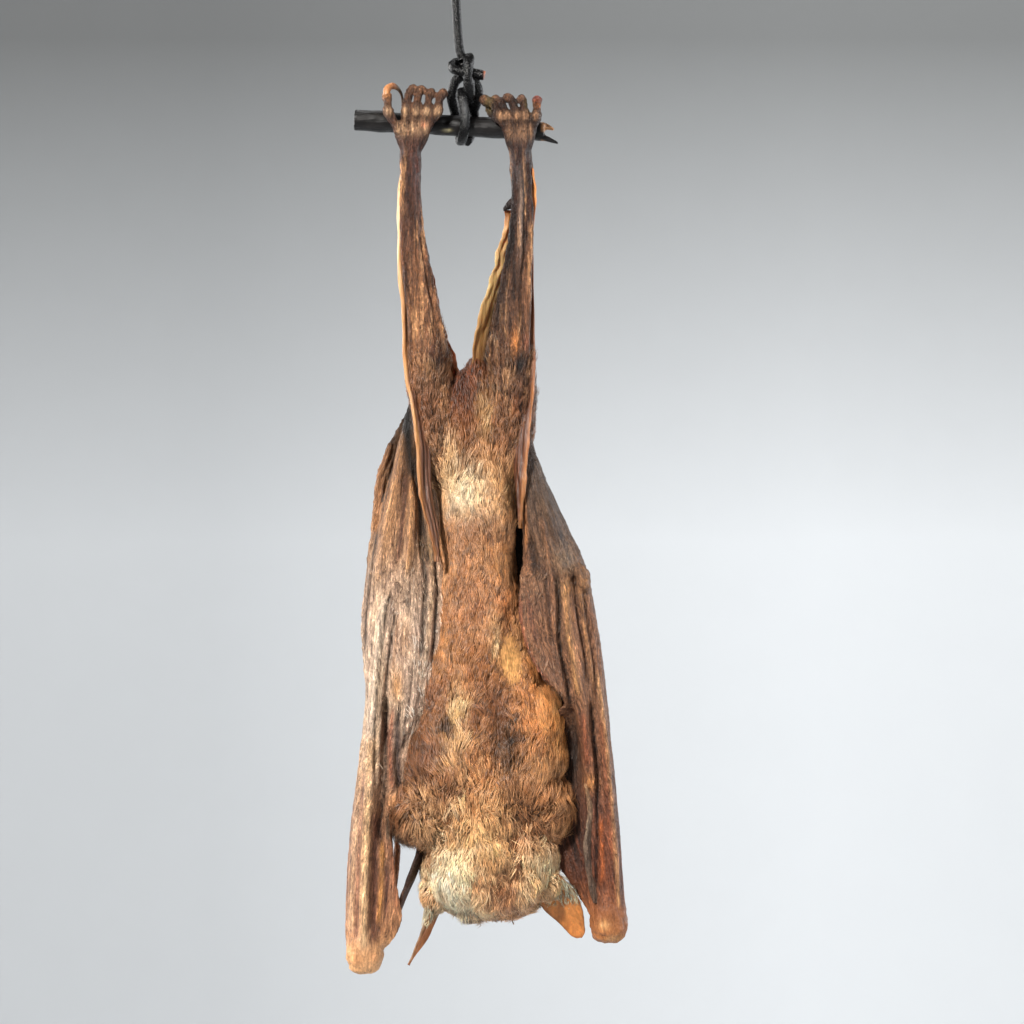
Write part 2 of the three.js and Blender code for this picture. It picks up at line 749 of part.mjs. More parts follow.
function thumbClaw(side) {
  const [x, y, z] = THUMBS[side].at(-1);
  const inwards = side === 'left' ? 1 : -1;
  return (grow) =>
    limb(
      [
        [x, y, z + 2.6, 0.95, 1.3],
        [x, y - 0.4, z + 5.4, 0.85, 1.15],
        [x + inwards * 0.8, y - 2.2, z + 8.2, 0.6, 0.75],
        [x + inwards * 1.6, y - 4.8, z + 9.2, 0.2, 0.22],
      ],
      { sides: 5, rings: 3, grow },
    );
}

// Ridges round the hand, one for each finger that lies in it.
function fingerRidges(angle, u) {
  const strength = 0.1 * Math.sin(Math.PI * Math.min(1, u * 1.2 + 0.1)) ** 0.5;
  return 1 + strength * Math.cos(angle * 5);
}

SIDES.forEach((side) => {
  const body = ['trunk', 'neck', 'head', `thigh_${side}`];
  const upperArm = (grow) => limb(UPPER_ARMS[side], { rings: 5, grow });
  grownPart(`upper_arm_${side}`, upperArm, COLOUR.wing, body);
  const forearm = (grow) => limb(FOREARMS[side], { rings: 4, cap: 0.3, grow });
  grownPart(`forearm_${side}`, forearm, COLOUR.bone, [...body, `upper_arm_${side}`], 0.5);
  const lobes = (angle) => 1 + 0.05 * Math.cos(angle * 5);
  const wrist = (grow) => limb(WRISTS[side], { sides: 10, rings: 1, cap: 0.22, grow, ridge: lobes });
  grownPart(`wrist_${side}`, wrist, COLOUR.bone, [`forearm_${side}`], 0.45);
  const arm = [`upper_arm_${side}`, `forearm_${side}`, `wrist_${side}`];
  const hand = (grow) => limb(HANDS[side], { sides: 10, rings: 7, cap: 0.4, grow, ridge: fingerRidges });
  grownPart(`hand_${side}`, hand, COLOUR.wing, [...body, ...arm], 0.6);
  const thumb = (grow) => limb(THUMBS[side], { sides: 6, rings: 4, grow });
  grownPart(`thumb_${side}`, thumb, COLOUR.skin, [...body, ...arm, `hand_${side}`], 0.6);
  grownPart(`thumb_claw_${side}`, thumbClaw(side), COLOUR.claw, [...body, `thumb_${side}`], 0.35);
});

// ---------------------------------------------------------------- membranes

// The strip along the outer side of each leg, which runs on down the flank as a free fold.
const LEG_FOLDS = {
  left: [
    [-14, -23.4, -7, -20, -7],
    [-26, -24, -7.4, -19.5, -5],
    [-45, -23.8, -7.6, -19, -4],
    [-65, -21.8, -8, -16, -4],
    [-85, -21.4, -9, -16, -4],
    [-100, -19.2, -11.5, -14, -5],
    [-120, -15.8, -14.5, -11, -6],
    [-140, -12.6, -15.4, -8, -7],
    [-160, -9.8, -16.6, -5, -9],
  ],
  right: [
    [-16, 24.2, -7, 20, -7],
    [-26, 25.4, -7.4, 20, -5],
    [-45, 24.9, -7.6, 20, -4],
    [-65, 24.9, -8, 20, -4],
    [-85, 25.3, -9, 20, -4],
    [-100, 24.6, -11.5, 19, -5],
    [-116, 22.8, -13, 16, -6],
    [-134, 20, -14, 14, -7],
  ],
};

// The narrow tail membrane on the inner side of each leg.
const TAIL_FOLDS = {
  left: [
    [-34, -15.8, -4, -18, -1],
    [-50, -12.6, -3.4, -17, 0],
    [-66, -9.2, -2.6, -14, 1],
    [-80, -5.6, -1.4, -11, 2],
    [-90, -1, 0, -7, 2],
  ],
  right: [
    [-31, 14.4, -5.4, 18, -3],
    [-44, 12.4, -5, 17, -2],
    [-57, 8.2, -4.4, 15, -1],
    [-66, 5.4, -3.6, 12, 0],
    [-76, 3, -2.6, 10, 1],
    [-90, 1.6, -1, 8, 2],
  ],
};

// The large wing membrane between the leg, the flank and the arm.
const WING_PANELS = {
  left: [
    [-98, -19.4, -5, -16.5, -5],
    [-112, -22.5, -6, -15.5, -6],
    [-125, -28, -6, -15, -8],
    [-138, -30.4, -5.5, -13.5, -9],
    [-152, -32, -5, -12, -9],
    [-168, -33, -4, -10.5, -11],
    [-184, -33, -3, -9.5, -13],
    [-200, -31.5, -2, -9.5, -14],
    [-214, -30, -1, -14, -11],
    [-230, -30, -1, -19, -6],
  ],
  right: [
    [-100, 19.5, -5, 17.5, -6],
    [-112, 23.6, -6, 17, -7.5],
    [-125, 28.6, -6.5, 17.5, -10],
    [-138, 34.4, -6.5, 18, -12],
    [-152, 40, -6, 18, -13.4],
    [-168, 42, -4.5, 17.6, -16.2],
    [-184, 44, -3.5, 20.8, -18],
    [-198, 45, -3, 27, -18],
    [-208, 45, -2.4, 33, -14],
  ],
};

// The front membrane on the inner side of the forearm.
const FRONT_PANELS = {
  left: [
    [-234, -31, -6, -25.2, -4],
    [-248, -32, -5.6, -25, -3],
    [-262, -32.5, -5, -24.3, -2],
    [-273, -33, -4.4, -22.6, -1],
    [-284, -33, -4, -25.6, -2],
  ],
  right: [
    [-206, 45, -2, 31, 0],
    [-220, 46, -3, 32, 3],
    [-232, 47, -4, 33, 3],
    [-245, 48, -4.6, 33.5, 3],
    [-257, 49, -4.4, 33, 4],
    [-268, 49, -4, 38, 5],
    [-276, 49, -4, 43.4, 4],
  ],
};

// The dried edge of that membrane, a strap from the shoulder to the wrist.
const NECK_STRAPS = {
  left: [
    [-244, -15.4, -3, -14.4, 8],
    [-254, -16.8, -3.6, -15.8, 8],
    [-264, -19.6, -3.6, -18.8, 6],
    [-275, -23, -3.4, -22.4, 4],
  ],
  right: [
    [-230, 42.4, -9, 43.4, -5],
    [-241, 43.8, -8.6, 44.6, -4],
    [-252, 42.8, -7.6, 43.8, -4],
    [-264, 44, -7, 45, -3],
  ],
};

function wingPleats(v, u) {
  const fade = Math.sin(Math.PI * v) ** 0.6 * Math.min(1, 0.25 + u * 1.6);
  return fade * 1.1 * Math.sin(v * Math.PI * 3);
}

SIDES.forEach((side) => {
  const mirror = side === 'left' ? 1 : -1;
  const body = ['trunk', 'neck', 'head', `thigh_${side}`, `shin_${side}`, `foot_${side}`];
  const arm = [`upper_arm_${side}`, `forearm_${side}`, `wrist_${side}`, `hand_${side}`, `thumb_${side}`];
  const fold = (grow) => sheet(LEG_FOLDS[side], { across: 2, rings: 7, grow, thick: 1.7 });
  grownPart(`leg_membrane_${side}`, fold, COLOUR.edge, body, 0.6);
  const tail = (grow) => sheet(TAIL_FOLDS[side], { across: 2, rings: 5, grow });
  grownPart(`tail_membrane_${side}`, tail, COLOUR.edge, body, 0.6);
  const before = [...body, ...arm, `leg_membrane_${side}`];
  const pleats = (v, u) => mirror * wingPleats(v, u);
  const panel = (grow) => sheet(WING_PANELS[side], { across: 6, rings: 5, grow, thick: 2, pleats });
  grownPart(`wing_membrane_${side}`, panel, COLOUR.wing, before, 0.7);
  const around = [...before, `ear_${side}`, `wing_membrane_${side}`];
  const front = (grow) => sheet(FRONT_PANELS[side], { across: 3, rings: 5, grow, thick: 1.8 });
  grownPart(`front_membrane_${side}`, front, COLOUR.skin, around, 0.6);
  const strap = (grow) => sheet(NECK_STRAPS[side], { across: 2, rings: 4, grow, thick: 1.9 });
  const beside = [...around, `front_membrane_${side}`, `thumb_claw_${side}`];
  grownPart(`neck_strap_${side}`, strap, COLOUR.skin, beside, 0.6);
});

const model = new THREE.Group();
model.add(fitting, bat);

export default model;
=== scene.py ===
"""A dried fruit bat, life size, hanging head down by both feet from a short twig.

Shapes are written in millimetres from the middle of the twig: +X to the right, +Y towards the wall and
+Z up. Left and right are as seen from in front, where the bat's back is.
"""

import math

import bpy
import numpy as np
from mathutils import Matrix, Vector
from mathutils.kdtree import KDTree


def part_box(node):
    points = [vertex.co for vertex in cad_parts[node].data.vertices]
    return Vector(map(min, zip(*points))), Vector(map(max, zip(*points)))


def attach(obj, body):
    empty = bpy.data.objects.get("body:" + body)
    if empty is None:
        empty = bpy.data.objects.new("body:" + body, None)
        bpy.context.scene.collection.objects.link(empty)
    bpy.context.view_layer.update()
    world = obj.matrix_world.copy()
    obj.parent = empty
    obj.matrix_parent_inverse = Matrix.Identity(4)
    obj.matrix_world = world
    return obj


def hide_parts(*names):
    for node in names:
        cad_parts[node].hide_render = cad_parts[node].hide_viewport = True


bl_info = {
    "name": "Dried Fruit Bat",
    "version": (1, 0, 0),
    "blender": (4, 5, 0),
    "location": "3D View > Sidebar > Fruit Bat",
    "description": "Models a dried fruit bat hanging from a twig, with its skin, coat, cord and wall fitting",
    "category": "Object",
}

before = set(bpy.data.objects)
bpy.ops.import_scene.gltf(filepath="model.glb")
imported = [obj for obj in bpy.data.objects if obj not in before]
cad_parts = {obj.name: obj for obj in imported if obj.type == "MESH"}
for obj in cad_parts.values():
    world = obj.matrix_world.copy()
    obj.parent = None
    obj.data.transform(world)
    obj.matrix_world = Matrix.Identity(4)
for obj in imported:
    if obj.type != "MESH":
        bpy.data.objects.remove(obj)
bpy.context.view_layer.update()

MM = 0.001
TWIG_MIDDLE = np.array([6.0, -72.0, -82.0])  # from the middle of the wall plate's back, in mm
SIDES = ("left", "right")
ROOT = "root"


# ---------------------------------------------------------------- settings


USUAL_DENSITY = 3.0


class BAT_PG_skin(bpy.types.PropertyGroup):
    voxel_body: bpy.props.FloatProperty(
        name="Body mesh size", description="Width of one face of the skin of the body and head",
        default=0.00084, min=0.0005, subtype="DISTANCE",
    )
    voxel_leg: bpy.props.FloatProperty(
        name="Leg mesh size", description="Width of one face of the skin of the legs and feet",
        default=0.00053, min=0.0003, subtype="DISTANCE",
    )
    voxel_wing: bpy.props.FloatProperty(
        name="Wing mesh size", description="Width of one face of the folded wings",
        default=0.00067, min=0.0004, subtype="DISTANCE",
    )
    wrinkle: bpy.props.FloatProperty(
        name="Wrinkles", description="How deep the wrinkles of the dried skin are, as a share of the usual",
        default=1.0, min=0.0, max=2.0, subtype="FACTOR",
    )


class BAT_PG_coat(bpy.types.PropertyGroup):
    density: bpy.props.FloatProperty(
        name="Density", description="Tufts on a square millimetre of the back, about",
        default=USUAL_DENSITY, min=0.2, max=6.0,
    )
    length: bpy.props.FloatProperty(
        name="Length", description="Length of the tufts, as a share of the usual",
        default=1.0, min=0.3, max=1.5, subtype="FACTOR",
    )


class BAT_PG_stage(bpy.types.PropertyGroup):
    distance: bpy.props.FloatProperty(
        name="Camera distance", description="From the camera to the bat",
        default=1.6, min=0.5, subtype="DISTANCE",
    )
    lens: bpy.props.FloatProperty(
        name="Lens", description="Focal length of the camera in millimetres", default=160.7, min=20.0,
    )


def settings():
    return bpy.context.scene.bat_skin, bpy.context.scene.bat_coat, bpy.context.scene.bat_stage


# ---------------------------------------------------------------- shaping tools


def between(rows, u):
    """Rows of numbers between the rows of a table, eased by a Catmull-Rom spline."""
    rows = np.asarray(rows, float)
    place = np.atleast_1d(u) * (len(rows) - 1)
    start = np.minimum(place.astype(int), len(rows) - 2)
    f = (place - start)[:, None]
    a, b, c, d = (rows[np.clip(start + k, 0, len(rows) - 1)] for k in (-1, 0, 1, 2))
    slope_b, slope_c = (c - a) / 2, (d - b) / 2
    bend = (2 * b - 2 * c + slope_b + slope_c) * f + 3 * c - 3 * b - 2 * slope_b - slope_c
    return (bend * f + slope_b) * f + b


def unit(vectors):
    return vectors / np.maximum(np.linalg.norm(vectors, axis=-1, keepdims=True), 1e-9)


def lattice(i, j, k, seed):
    h = (i * 374761393 + j * 668265263 + k * 1440662683 + seed * 974711) & 0xFFFFFFFF
    h = ((h ^ (h >> 13)) * 1274126177) & 0xFFFFFFFF
    return ((h ^ (h >> 16)) & 0xFFFF) / 32767.5 - 1


def noise(points, size, seed=0, octaves=1):
    """Smooth noise from -1 to 1. Its lumps are size apart, in mm, along each axis or along all."""
    total, weight = 0.0, 0.0
    for octave in range(octaves):
        p = points / np.asarray(size, float) * 2**octave + 31.7 * octave
        cell = np.floor(p).astype(np.int64)
        f = p - cell
        f = f * f * f * (f * (f * 6 - 15) + 10)
        value = 0.0
        for dx in (0, 1):
            for dy in (0, 1):
                for dz in (0, 1):
                    corner = lattice(cell[:, 0] + dx, cell[:, 1] + dy, cell[:, 2] + dz, seed + octave)
                    share = np.ones(len(p))
                    for axis, d in enumerate((dx, dy, dz)):
                        share *= f[:, axis] if d else 1 - f[:, axis]
                    value = value + corner * share
        total = total + value * 0.5**octave
        weight += 0.5**octave
    return total / weight


def creases(points, size, seed=0, octaves=1):
    """Noise with sharp valleys, from 0 in a crease to 1."""
    return np.sqrt(np.minimum(1, np.abs(noise(points, size, seed, octaves)) * 2.2))


def bell(points, middle, radii):
    """1 at middle, falling smoothly to 0 over about two radii."""
    away = (points - np.asarray(middle, float)) / np.asarray(radii, float)
    return np.exp(-np.sum(away * away, axis=-1))


def step(value, low, high):
    t = np.clip((value - low) / (high - low), 0, 1)
    return t * t * (3 - 2 * t)


def over(colour, share, shade):
    """Lays a shade over a colour, by its own share at each point."""
    share = share[:, None]
    return colour * (1 - share) + shade * share


def grid_faces(rings, sides):
    """Quads of a grid of closed rings, each ring of so many points in order."""
    i = np.arange(rings - 1)[:, None]
    j = np.arange(sides)[None, :]
    a = i * sides + j
    b = i * sides + (j + 1) % sides
    return np.stack([a, b, b + sides, a + sides], axis=-1).reshape(-1, 4)


class Form:
    """Closed shapes gathered into one mesh."""

    def __init__(self):
        self.points, self.faces, self.count = [], [], 0

    def add(self, points, *faces):
        self.points.append(np.asarray(points, float))
        for group in faces:
            self.faces.extend((np.asarray(group) + self.count).tolist())
        self.count += len(points)

    def solid(self, rings, poles):
        """A closed round solid through rings of points, with a point at each end."""
        sides = len(rings[0])
        count = len(rings) * sides
        j = np.arange(sides)
        following = (j + 1) % sides
        near = np.stack([following, j, np.full(sides, count)], axis=-1)
        last = count - sides
        far = np.stack([last + j, last + following, np.full(sides, count + 1)], axis=-1)
        self.add(np.concatenate([*rings, poles]), grid_faces(len(rings), sides), near, far)

    def shell(self, front, back):
        """A closed thin shell between two faces, each a grid of rows of points."""
        loops = np.concatenate([front, back[:, ::-1]], axis=1)
        rings, sides = loops.shape[:2]
        j = np.arange(sides // 2 - 1)
        near = np.stack([j, j + 1, sides - 2 - j, sides - 1 - j], axis=-1)
        last = (rings - 1) * sides
        self.add(loops.reshape(-1, 3), grid_faces(rings, sides)[:, ::-1], near, last + near[:, ::-1])


def limb(form, rows, sides=28, steps=36, cap=0.5, across=(1, 0, 0), level=False, power=2.0, ridge=None):
    """A round-ended body along a path. Each row is x, y, z, half width and half depth.

    ridge(angle, u) multiplies the radius, and a power over 2 squares the section.
    """
    u = np.linspace(0, 1, steps)
    row = between(rows, u)
    tangent = between(rows, np.minimum(1, u + 0.01))[:, :3] - between(rows, np.maximum(0, u - 0.01))[:, :3]
    if level:
        tangent[:, :2] = 0
    tangent = unit(tangent)
    deep = unit(np.cross(tangent, np.asarray(across, float)))
    wide = unit(np.cross(deep, tangent))
    turn = np.linspace(0, 2 * math.pi, sides, endpoint=False)
    c, s = np.cos(turn), np.sin(turn)
    square = (np.abs(c) ** power + np.abs(s) ** power) ** (-1 / power)
    reach = np.repeat(square[None, :], steps, axis=0)
    if ridge is not None:
        reach = reach * ridge(turn[None, :], u[:, None])
    rise = np.minimum(row[:, 3], row[:, 4]) * 2 * cap
    rings = []

    def ring(index, scale, along):
        middle = row[index, :3] + tangent[index] * along * rise[index]
        out = wide[index] * (c * reach[index] * row[index, 3] * scale)[:, None]
        return middle + out + deep[index] * (s * reach[index] * row[index, 4] * scale)[:, None]

    turns = [math.pi / 2 * k / 6 for k in (5.6, 4.8, 3.8, 2.6, 1.3)]
    rings += [ring(0, math.cos(t), -math.sin(t)) for t in turns]
    rings += [ring(i, 1, 0) for i in range(steps)]
    rings += [ring(-1, math.cos(t), math.sin(t)) for t in reversed(turns)]
    form.solid(rings, [row[0, :3] - tangent[0] * rise[0], row[-1, :3] + tangent[-1] * rise[-1]])


def ball(form, middle, radii, sides=24):
    """A ball with its own radius along each axis."""
    x, y, z = middle
    width, depth, height = radii
    rows = [[x, y, z - height * 0.02, width, depth], [x, y, z + height * 0.02, width, depth]]
    limb(form, rows, sides=sides, steps=2, cap=height / (2 * min(width, depth)), level=True)


def sheet(form, rows, across=16, rings=90, thick=1.0, pleats=None, edge=None, taper=0.35):
    """A folded membrane. Each row is z, x and y of the outer edge, x and y of the inner edge.

    pleats(v, u) lifts it off the straight line between its edges, and edge(u) moves its outer edge out.
    """
    u = np.linspace(0, 1, rings)
    z, outer_x, outer_y, inner_x, inner_y = between(rows, u).T
    run = np.stack([inner_x - outer_x, inner_y - outer_y], axis=-1)
    along = unit(run)
    off = np.stack([-along[:, 1], along[:, 0]], axis=-1)
    v = np.linspace(0, 1, across)
    start = np.stack([outer_x, outer_y], axis=-1)
    if edge is not None:
        shift = along * edge(u)[:, None]
        start, run = start - shift, run + shift
    body = taper + (1 - taper) * np.sin(math.pi * v) ** 0.4
    lift = np.zeros((rings, across)) if pleats is None else pleats(v[None, :], u[:, None])
    halves = []
    for half in (0.5, -0.5):
        height = lift + half * thick * body[None, :]
        flat = start[:, None, :] + run[:, None, :] * v[None, :, None] + off[:, None, :] * height[..., None]
        halves.append(np.concatenate([flat, np.repeat(z[:, None, None], across, axis=1)], axis=-1))
    form.shell(*halves)


def rod(form, points, radius, sides=20, steps=200, profile=None):
    """A round strand through points. profile(angle, u) multiplies the radius."""
    u = np.linspace(0, 1, steps)
    path = between(points, u)
    tangent = unit(np.gradient(path, axis=0))
    normal = np.zeros_like(path)
    normal[0] = unit(np.cross(tangent[0], (0.2, 1, 0.1)))
    for i in range(1, steps):
        n = normal[i - 1] - tangent[i] * np.dot(normal[i - 1], tangent[i])
        normal[i] = n / np.linalg.norm(n)
    side = np.cross(tangent, normal)
    turn = np.linspace(0, 2 * math.pi, sides, endpoint=False)
    reach = np.full((steps, sides), float(radius))
    if profile is not None:
        reach = reach * profile(turn[None, :], u[:, None])
    out = normal[:, None, :] * np.cos(turn)[None, :, None] + side[:, None, :] * np.sin(turn)[None, :, None]
    form.solid(path[:, None, :] + out * reach[..., None], path[[0, -1]])


# ---------------------------------------------------------------- meshes


def object_of(name, mesh):
    obj = bpy.data.objects.new(name, mesh)
    bpy.context.scene.collection.objects.link(obj)
    return obj


def only(obj):
    """Makes obj the one selected and active object."""
    bpy.ops.object.select_all(action="DESELECT")
    obj.select_set(True)
    bpy.context.view_layer.objects.active = obj


def built(name, form):
    mesh = bpy.data.meshes.new(name)
    mesh.from_pydata(((np.concatenate(form.points) + TWIG_MIDDLE) * MM).tolist(), [], form.faces)
    mesh.update()
    obj = object_of(name, mesh)
    only(obj)
    bpy.ops.object.mode_set(mode="EDIT")
    bpy.ops.mesh.select_all(action="SELECT")
    bpy.ops.mesh.normals_make_consistent(inside=False)
    bpy.ops.object.mode_set(mode="OBJECT")
    bpy.ops.object.shade_smooth()
    return obj


def points_of(obj):
    """The mesh's points in mm from the middle of the twig."""
    co = np.zeros(len(obj.data.vertices) * 3, np.float32)
    obj.data.vertices.foreach_get("co", co)
    return co.reshape(-1, 3).astype(float) / MM - TWIG_MIDDLE


def set_points(obj, points):
    co = ((points + TWIG_MIDDLE) * MM).astype(np.float32)
    obj.data.vertices.foreach_set("co", co.ravel())
    obj.data.update()


def normals_of(obj):
    out = np.zeros(len(obj.data.vertices) * 3, np.float32)
    obj.data.vertex_normals.foreach_get("vector", out)
    return out.reshape(-1, 3).astype(float)


SHRINK, SWELL = 0.5, -0.52  # how far each round of smoothing moves a point in, and back out


def eased(obj, rounds):
    """Smooths a mesh, and swells it back each round so that thin parts keep their size."""
    mesh = obj.data
    edges = np.zeros(len(mesh.edges) * 2, np.int32)
    mesh.edges.foreach_get("vertices", edges)
    a, b = edges.reshape(-1, 2).T
    count = len(mesh.vertices)
    degree = np.maximum(np.bincount(a, minlength=count) + np.bincount(b, minlength=count), 1)
    points = points_of(obj)
    for k in range(rounds * 2):
        total = [np.bincount(a, p[b], count) + np.bincount(b, p[a], count) for p in points.T]
        points = points + (np.stack(total, axis=-1) / degree[:, None] - points) * (SWELL if k % 2 else SHRINK)
    set_points(obj, points)


def fused(name, form, voxel, rounds):
    """One closed skin round every shape in form."""
    obj = built(name, form)
    remesh = obj.modifiers.new("Skin", "REMESH")
    remesh.mode = "VOXEL"
    remesh.voxel_size = voxel
    only(obj)
    bpy.ops.object.modifier_apply(modifier=remesh.name)
    bpy.ops.object.shade_smooth()
    eased(obj, rounds)
    return obj


def raised(obj, height):
    """Moves each point along its normal by height(points, normals), in mm."""
    points, normals = points_of(obj), normals_of(obj)
    set_points(obj, points + normals * height(points, normals)[:, None])


def store(obj, name, values, kind="FLOAT_COLOR"):
    attribute = obj.data.attributes.new(name, kind, "POINT")
    if kind == "FLOAT_COLOR":
        values = np.concatenate([values, np.ones((len(values), 1))], axis=-1)
        attribute.data.foreach_set("color", values.astype(np.float32).ravel())
    else:
        attribute.data.foreach_set("vector", values.astype(np.float32).ravel())


def linear(red, green, blue):
    """A colour given as it looks on a screen, from 0 to 255, as the shader takes it."""
    c = np.array([red, green, blue]) / 255
    return np.where(c <= 0.04045, c / 12.92, ((c + 0.055) / 1.055) ** 2.4)


def along(z, stops):
    """A colour that runs through stops, each a height in mm and a colour."""
    heights = [s[0] for s in stops]
    colours = np.array([linear(*s[1]) for s in stops])
    order = np.argsort(heights)
    heights = np.array(heights)[order]
    return np.stack([np.interp(z, heights, colours[order, k]) for k in range(3)], axis=-1)


def spotted(points, colour, spots):
    """Lays soft spots over a colour, each its middle, radii, colour and strength."""
    for middle, radii, shade, strength in spots:
        colour = over(colour, bell(points, middle, radii) * strength, linear(*shade))
    return colour


def finished(obj, material, slot, *nodes):
    """Gives a piece its material, its body and the CAD nodes that it stands for; its slot is not used."""
    obj.data.materials.clear()
    obj.data.materials.append(material)
    if nodes:
        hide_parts(*nodes)
    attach(obj, ROOT)
    return obj


# ---------------------------------------------------------------- materials


class Finish:
    """A material under way: one Principled shader and the nodes that feed it."""

    def __init__(self, name, **values):
        self.material = bpy.data.materials.new(name)
        self.material.use_nodes = True
        self.tree = self.material.node_tree
        self.tree.nodes.clear()
        self.shader = self.tree.nodes.new("ShaderNodeBsdfPrincipled")
        output = self.tree.nodes.new("ShaderNodeOutputMaterial")
        self.link(self.shader.outputs["BSDF"], output.inputs["Surface"])
        for socket, value in values.items():
            self.shader.inputs[socket.replace("_", " ")].default_value = value

    def link(self, out, into):
        self.tree.links.new(out, into)

    def add(self, kind, inputs=None, **values):
        made = self.tree.nodes.new(kind)
        for name, value in values.items():
            setattr(made, name, value)
        for name, value in (inputs or {}).items():
            if isinstance(value, bpy.types.NodeSocket):
                self.link(value, made.inputs[name])
            else:
                made.inputs[name].default_value = value
        return made

    def place(self, scale=(1000, 1000, 1000)):
        """The point on the piece, in mm where scale is 1000."""
        coordinates = self.add("ShaderNodeTexCoord")
        return self.stretched(coordinates.outputs["Object"], scale)

    def stored(self, name, output="Vector"):
        return self.add("ShaderNodeAttribute", attribute_name=name, attribute_type="GEOMETRY").outputs[output]

    def stretched(self, vector, scale):
        return self.add("ShaderNodeMapping", {"Vector": vector, "Scale": scale}).outputs[0]

    def noise(self, vector, scale, detail=3.0, roughness=0.55, distortion=0.0):
        inputs = {"Vector": vector, "Scale": scale, "Detail": detail}
        inputs.update({"Roughness": roughness, "Distortion": distortion})
        return self.add("ShaderNodeTexNoise", inputs).outputs["Fac"]

    def cells(self, vector, scale):
        return self.add("ShaderNodeTexVoronoi", {"Vector": vector, "Scale": scale}).outputs["Distance"]

    def ranged(self, value, low, high, to_low=0.0, to_high=1.0):
        inputs = {"Value": value, "From Min": low, "From Max": high, "To Min": to_low, "To Max": to_high}
        return self.add("ShaderNodeMapRange", inputs).outputs[0]

    def maths(self, operation, first, second):
        made = self.add("ShaderNodeMath", operation=operation)
        for socket, value in zip(made.inputs, (first, second)):
            if isinstance(value, bpy.types.NodeSocket):
                self.link(value, socket)
            else:
                socket.default_value = value
        return made.outputs[0]

    def mixed(self, factor, first, second, blend="MIX"):
        made = self.add("ShaderNodeMix", data_type="RGBA", blend_type=blend)
        for index, value in ((0, factor), (6, first), (7, second)):
            if isinstance(value, bpy.types.NodeSocket):
                self.link(value, made.inputs[index])
            elif index:
                made.inputs[index].default_value = (*value, 1)
            else:
                made.inputs[index].default_value = value
        return made.outputs[2]

    def bump(self, height, distance, strength=1.0, normal=None):
        """distance is in mm."""
        inputs = {"Height": height, "Distance": distance * MM, "Strength": strength}
        if normal is not None:
            inputs["Normal"] = normal
        return self.add("ShaderNodeBump", inputs).outputs[0]

    def stained(self, pattern, low, high, dark, light):
        """The piece's own colour, made darker and lighter by a pattern."""
        shade = self.mixed(self.ranged(pattern, low, high), dark, light)
        return self.mixed(1.0, self.stored("tint", "Color"), shade, "MULTIPLY")

    def feed(self, **sockets):
        for name, value in sockets.items():
            self.link(value, self.shader.inputs[name.replace("_", " ")])
        return self.material


def leather(name, grain=1.0, streak=1.0, shine=0.42):
    """Dried skin: lengthwise fibres along its lie, a fine grain and a worn shine, and plainer on bone."""
    f = Finish(name, IOR=1.45, Specular_IOR_Level=0.5)
    lie, tint = f.stored("lie"), f.stored("tint", "Color")
    skinny = f.maths("SUBTRACT", 1.0, f.stored("bony"))
    fibres = f.noise(lie, 1.1, 5.0, 0.62, 0.4)
    fine = f.noise(f.stretched(lie, (2.6, 2.6, 7.0)), 1.0, 4.0, 0.7)
    pebbles = f.cells(f.place((1500, 1500, 900)), 1.0)
    patches = f.noise(f.place((140, 140, 70)), 1.0, 3.0)
    dark = f.mixed(f.ranged(fibres, 0.38, 0.62), (0.30, 0.25, 0.23), (1.38, 1.30, 1.22))
    colour = f.mixed(f.maths("MULTIPLY", skinny, 0.8 * streak), tint, dark, "MULTIPLY")
    speck = f.mixed(f.ranged(fine, 0.38, 0.66), (0.55, 0.50, 0.47), (1.55, 1.48, 1.40))
    colour = f.mixed(f.maths("MULTIPLY", skinny, 0.8 * grain), colour, speck, "MULTIPLY")
    tone = f.mixed(f.ranged(patches, 0.35, 0.65), (0.78, 0.72, 0.72), (1.15, 1.10, 1.02))
    colour = f.mixed(0.75, colour, tone, "MULTIPLY")
    dashes = f.noise(f.stretched(lie, (1.5, 1.5, 4.2)), 1.0, 3.0, 0.6, 0.6)
    for low, high, change in ((0.56, 0.66, (1.9, 1.92, 1.98)), (0.42, 0.34, (0.4, 0.34, 0.32))):
        share = f.maths("MULTIPLY", skinny, f.ranged(dashes, low, high))
        colour = f.mixed(share, colour, f.mixed(1.0, colour, change, "MULTIPLY"))
    rough = f.ranged(fine, 0.3, 0.7, shine + 0.2, shine - 0.1)
    relief = f.bump(fibres, 1.3 * streak, f.maths("MULTIPLY", skinny, 0.9))
    relief = f.bump(dashes, 0.8 * streak, f.maths("MULTIPLY", skinny, 0.8), relief)
    relief = f.bump(fine, 0.7 * grain, f.maths("MULTIPLY", skinny, 0.9), relief)
    relief = f.bump(pebbles, 0.3 * grain, 0.7, relief)
    return f.feed(Base_Color=colour, Roughness=rough, Normal=relief)


def furry(name):
    """The coat: each tuft carries its own colour, darker at its root, partly by painted shade."""
    f = Finish(name, Roughness=0.42, IOR=1.5, Specular_IOR_Level=0.5, Sheen_Weight=0.1, Sheen_Roughness=0.5,
               Sheen_Tint=(1.0, 0.9, 0.75, 1))
    strands = f.noise(f.place((2600, 2600, 900)), 1.0, 2.0)
    return f.feed(Base_Color=f.stained(strands, 0.3, 0.7, (0.74, 0.71, 0.68), (1.26, 1.24, 1.20)))


def under_coat(name):
    """The skin under the coat, with the coat's colours and a short flat nap."""
    f = Finish(name, Roughness=0.75, IOR=1.45, Specular_IOR_Level=0.3)
    nap = f.noise(f.place((2400, 2400, 420)), 1.0, 4.0, 0.6)
    colour = f.stained(nap, 0.32, 0.68, (0.55, 0.50, 0.48), (1.15, 1.10, 1.05))
    return f.feed(Base_Color=colour, Normal=f.bump(nap, 0.5, 0.8))


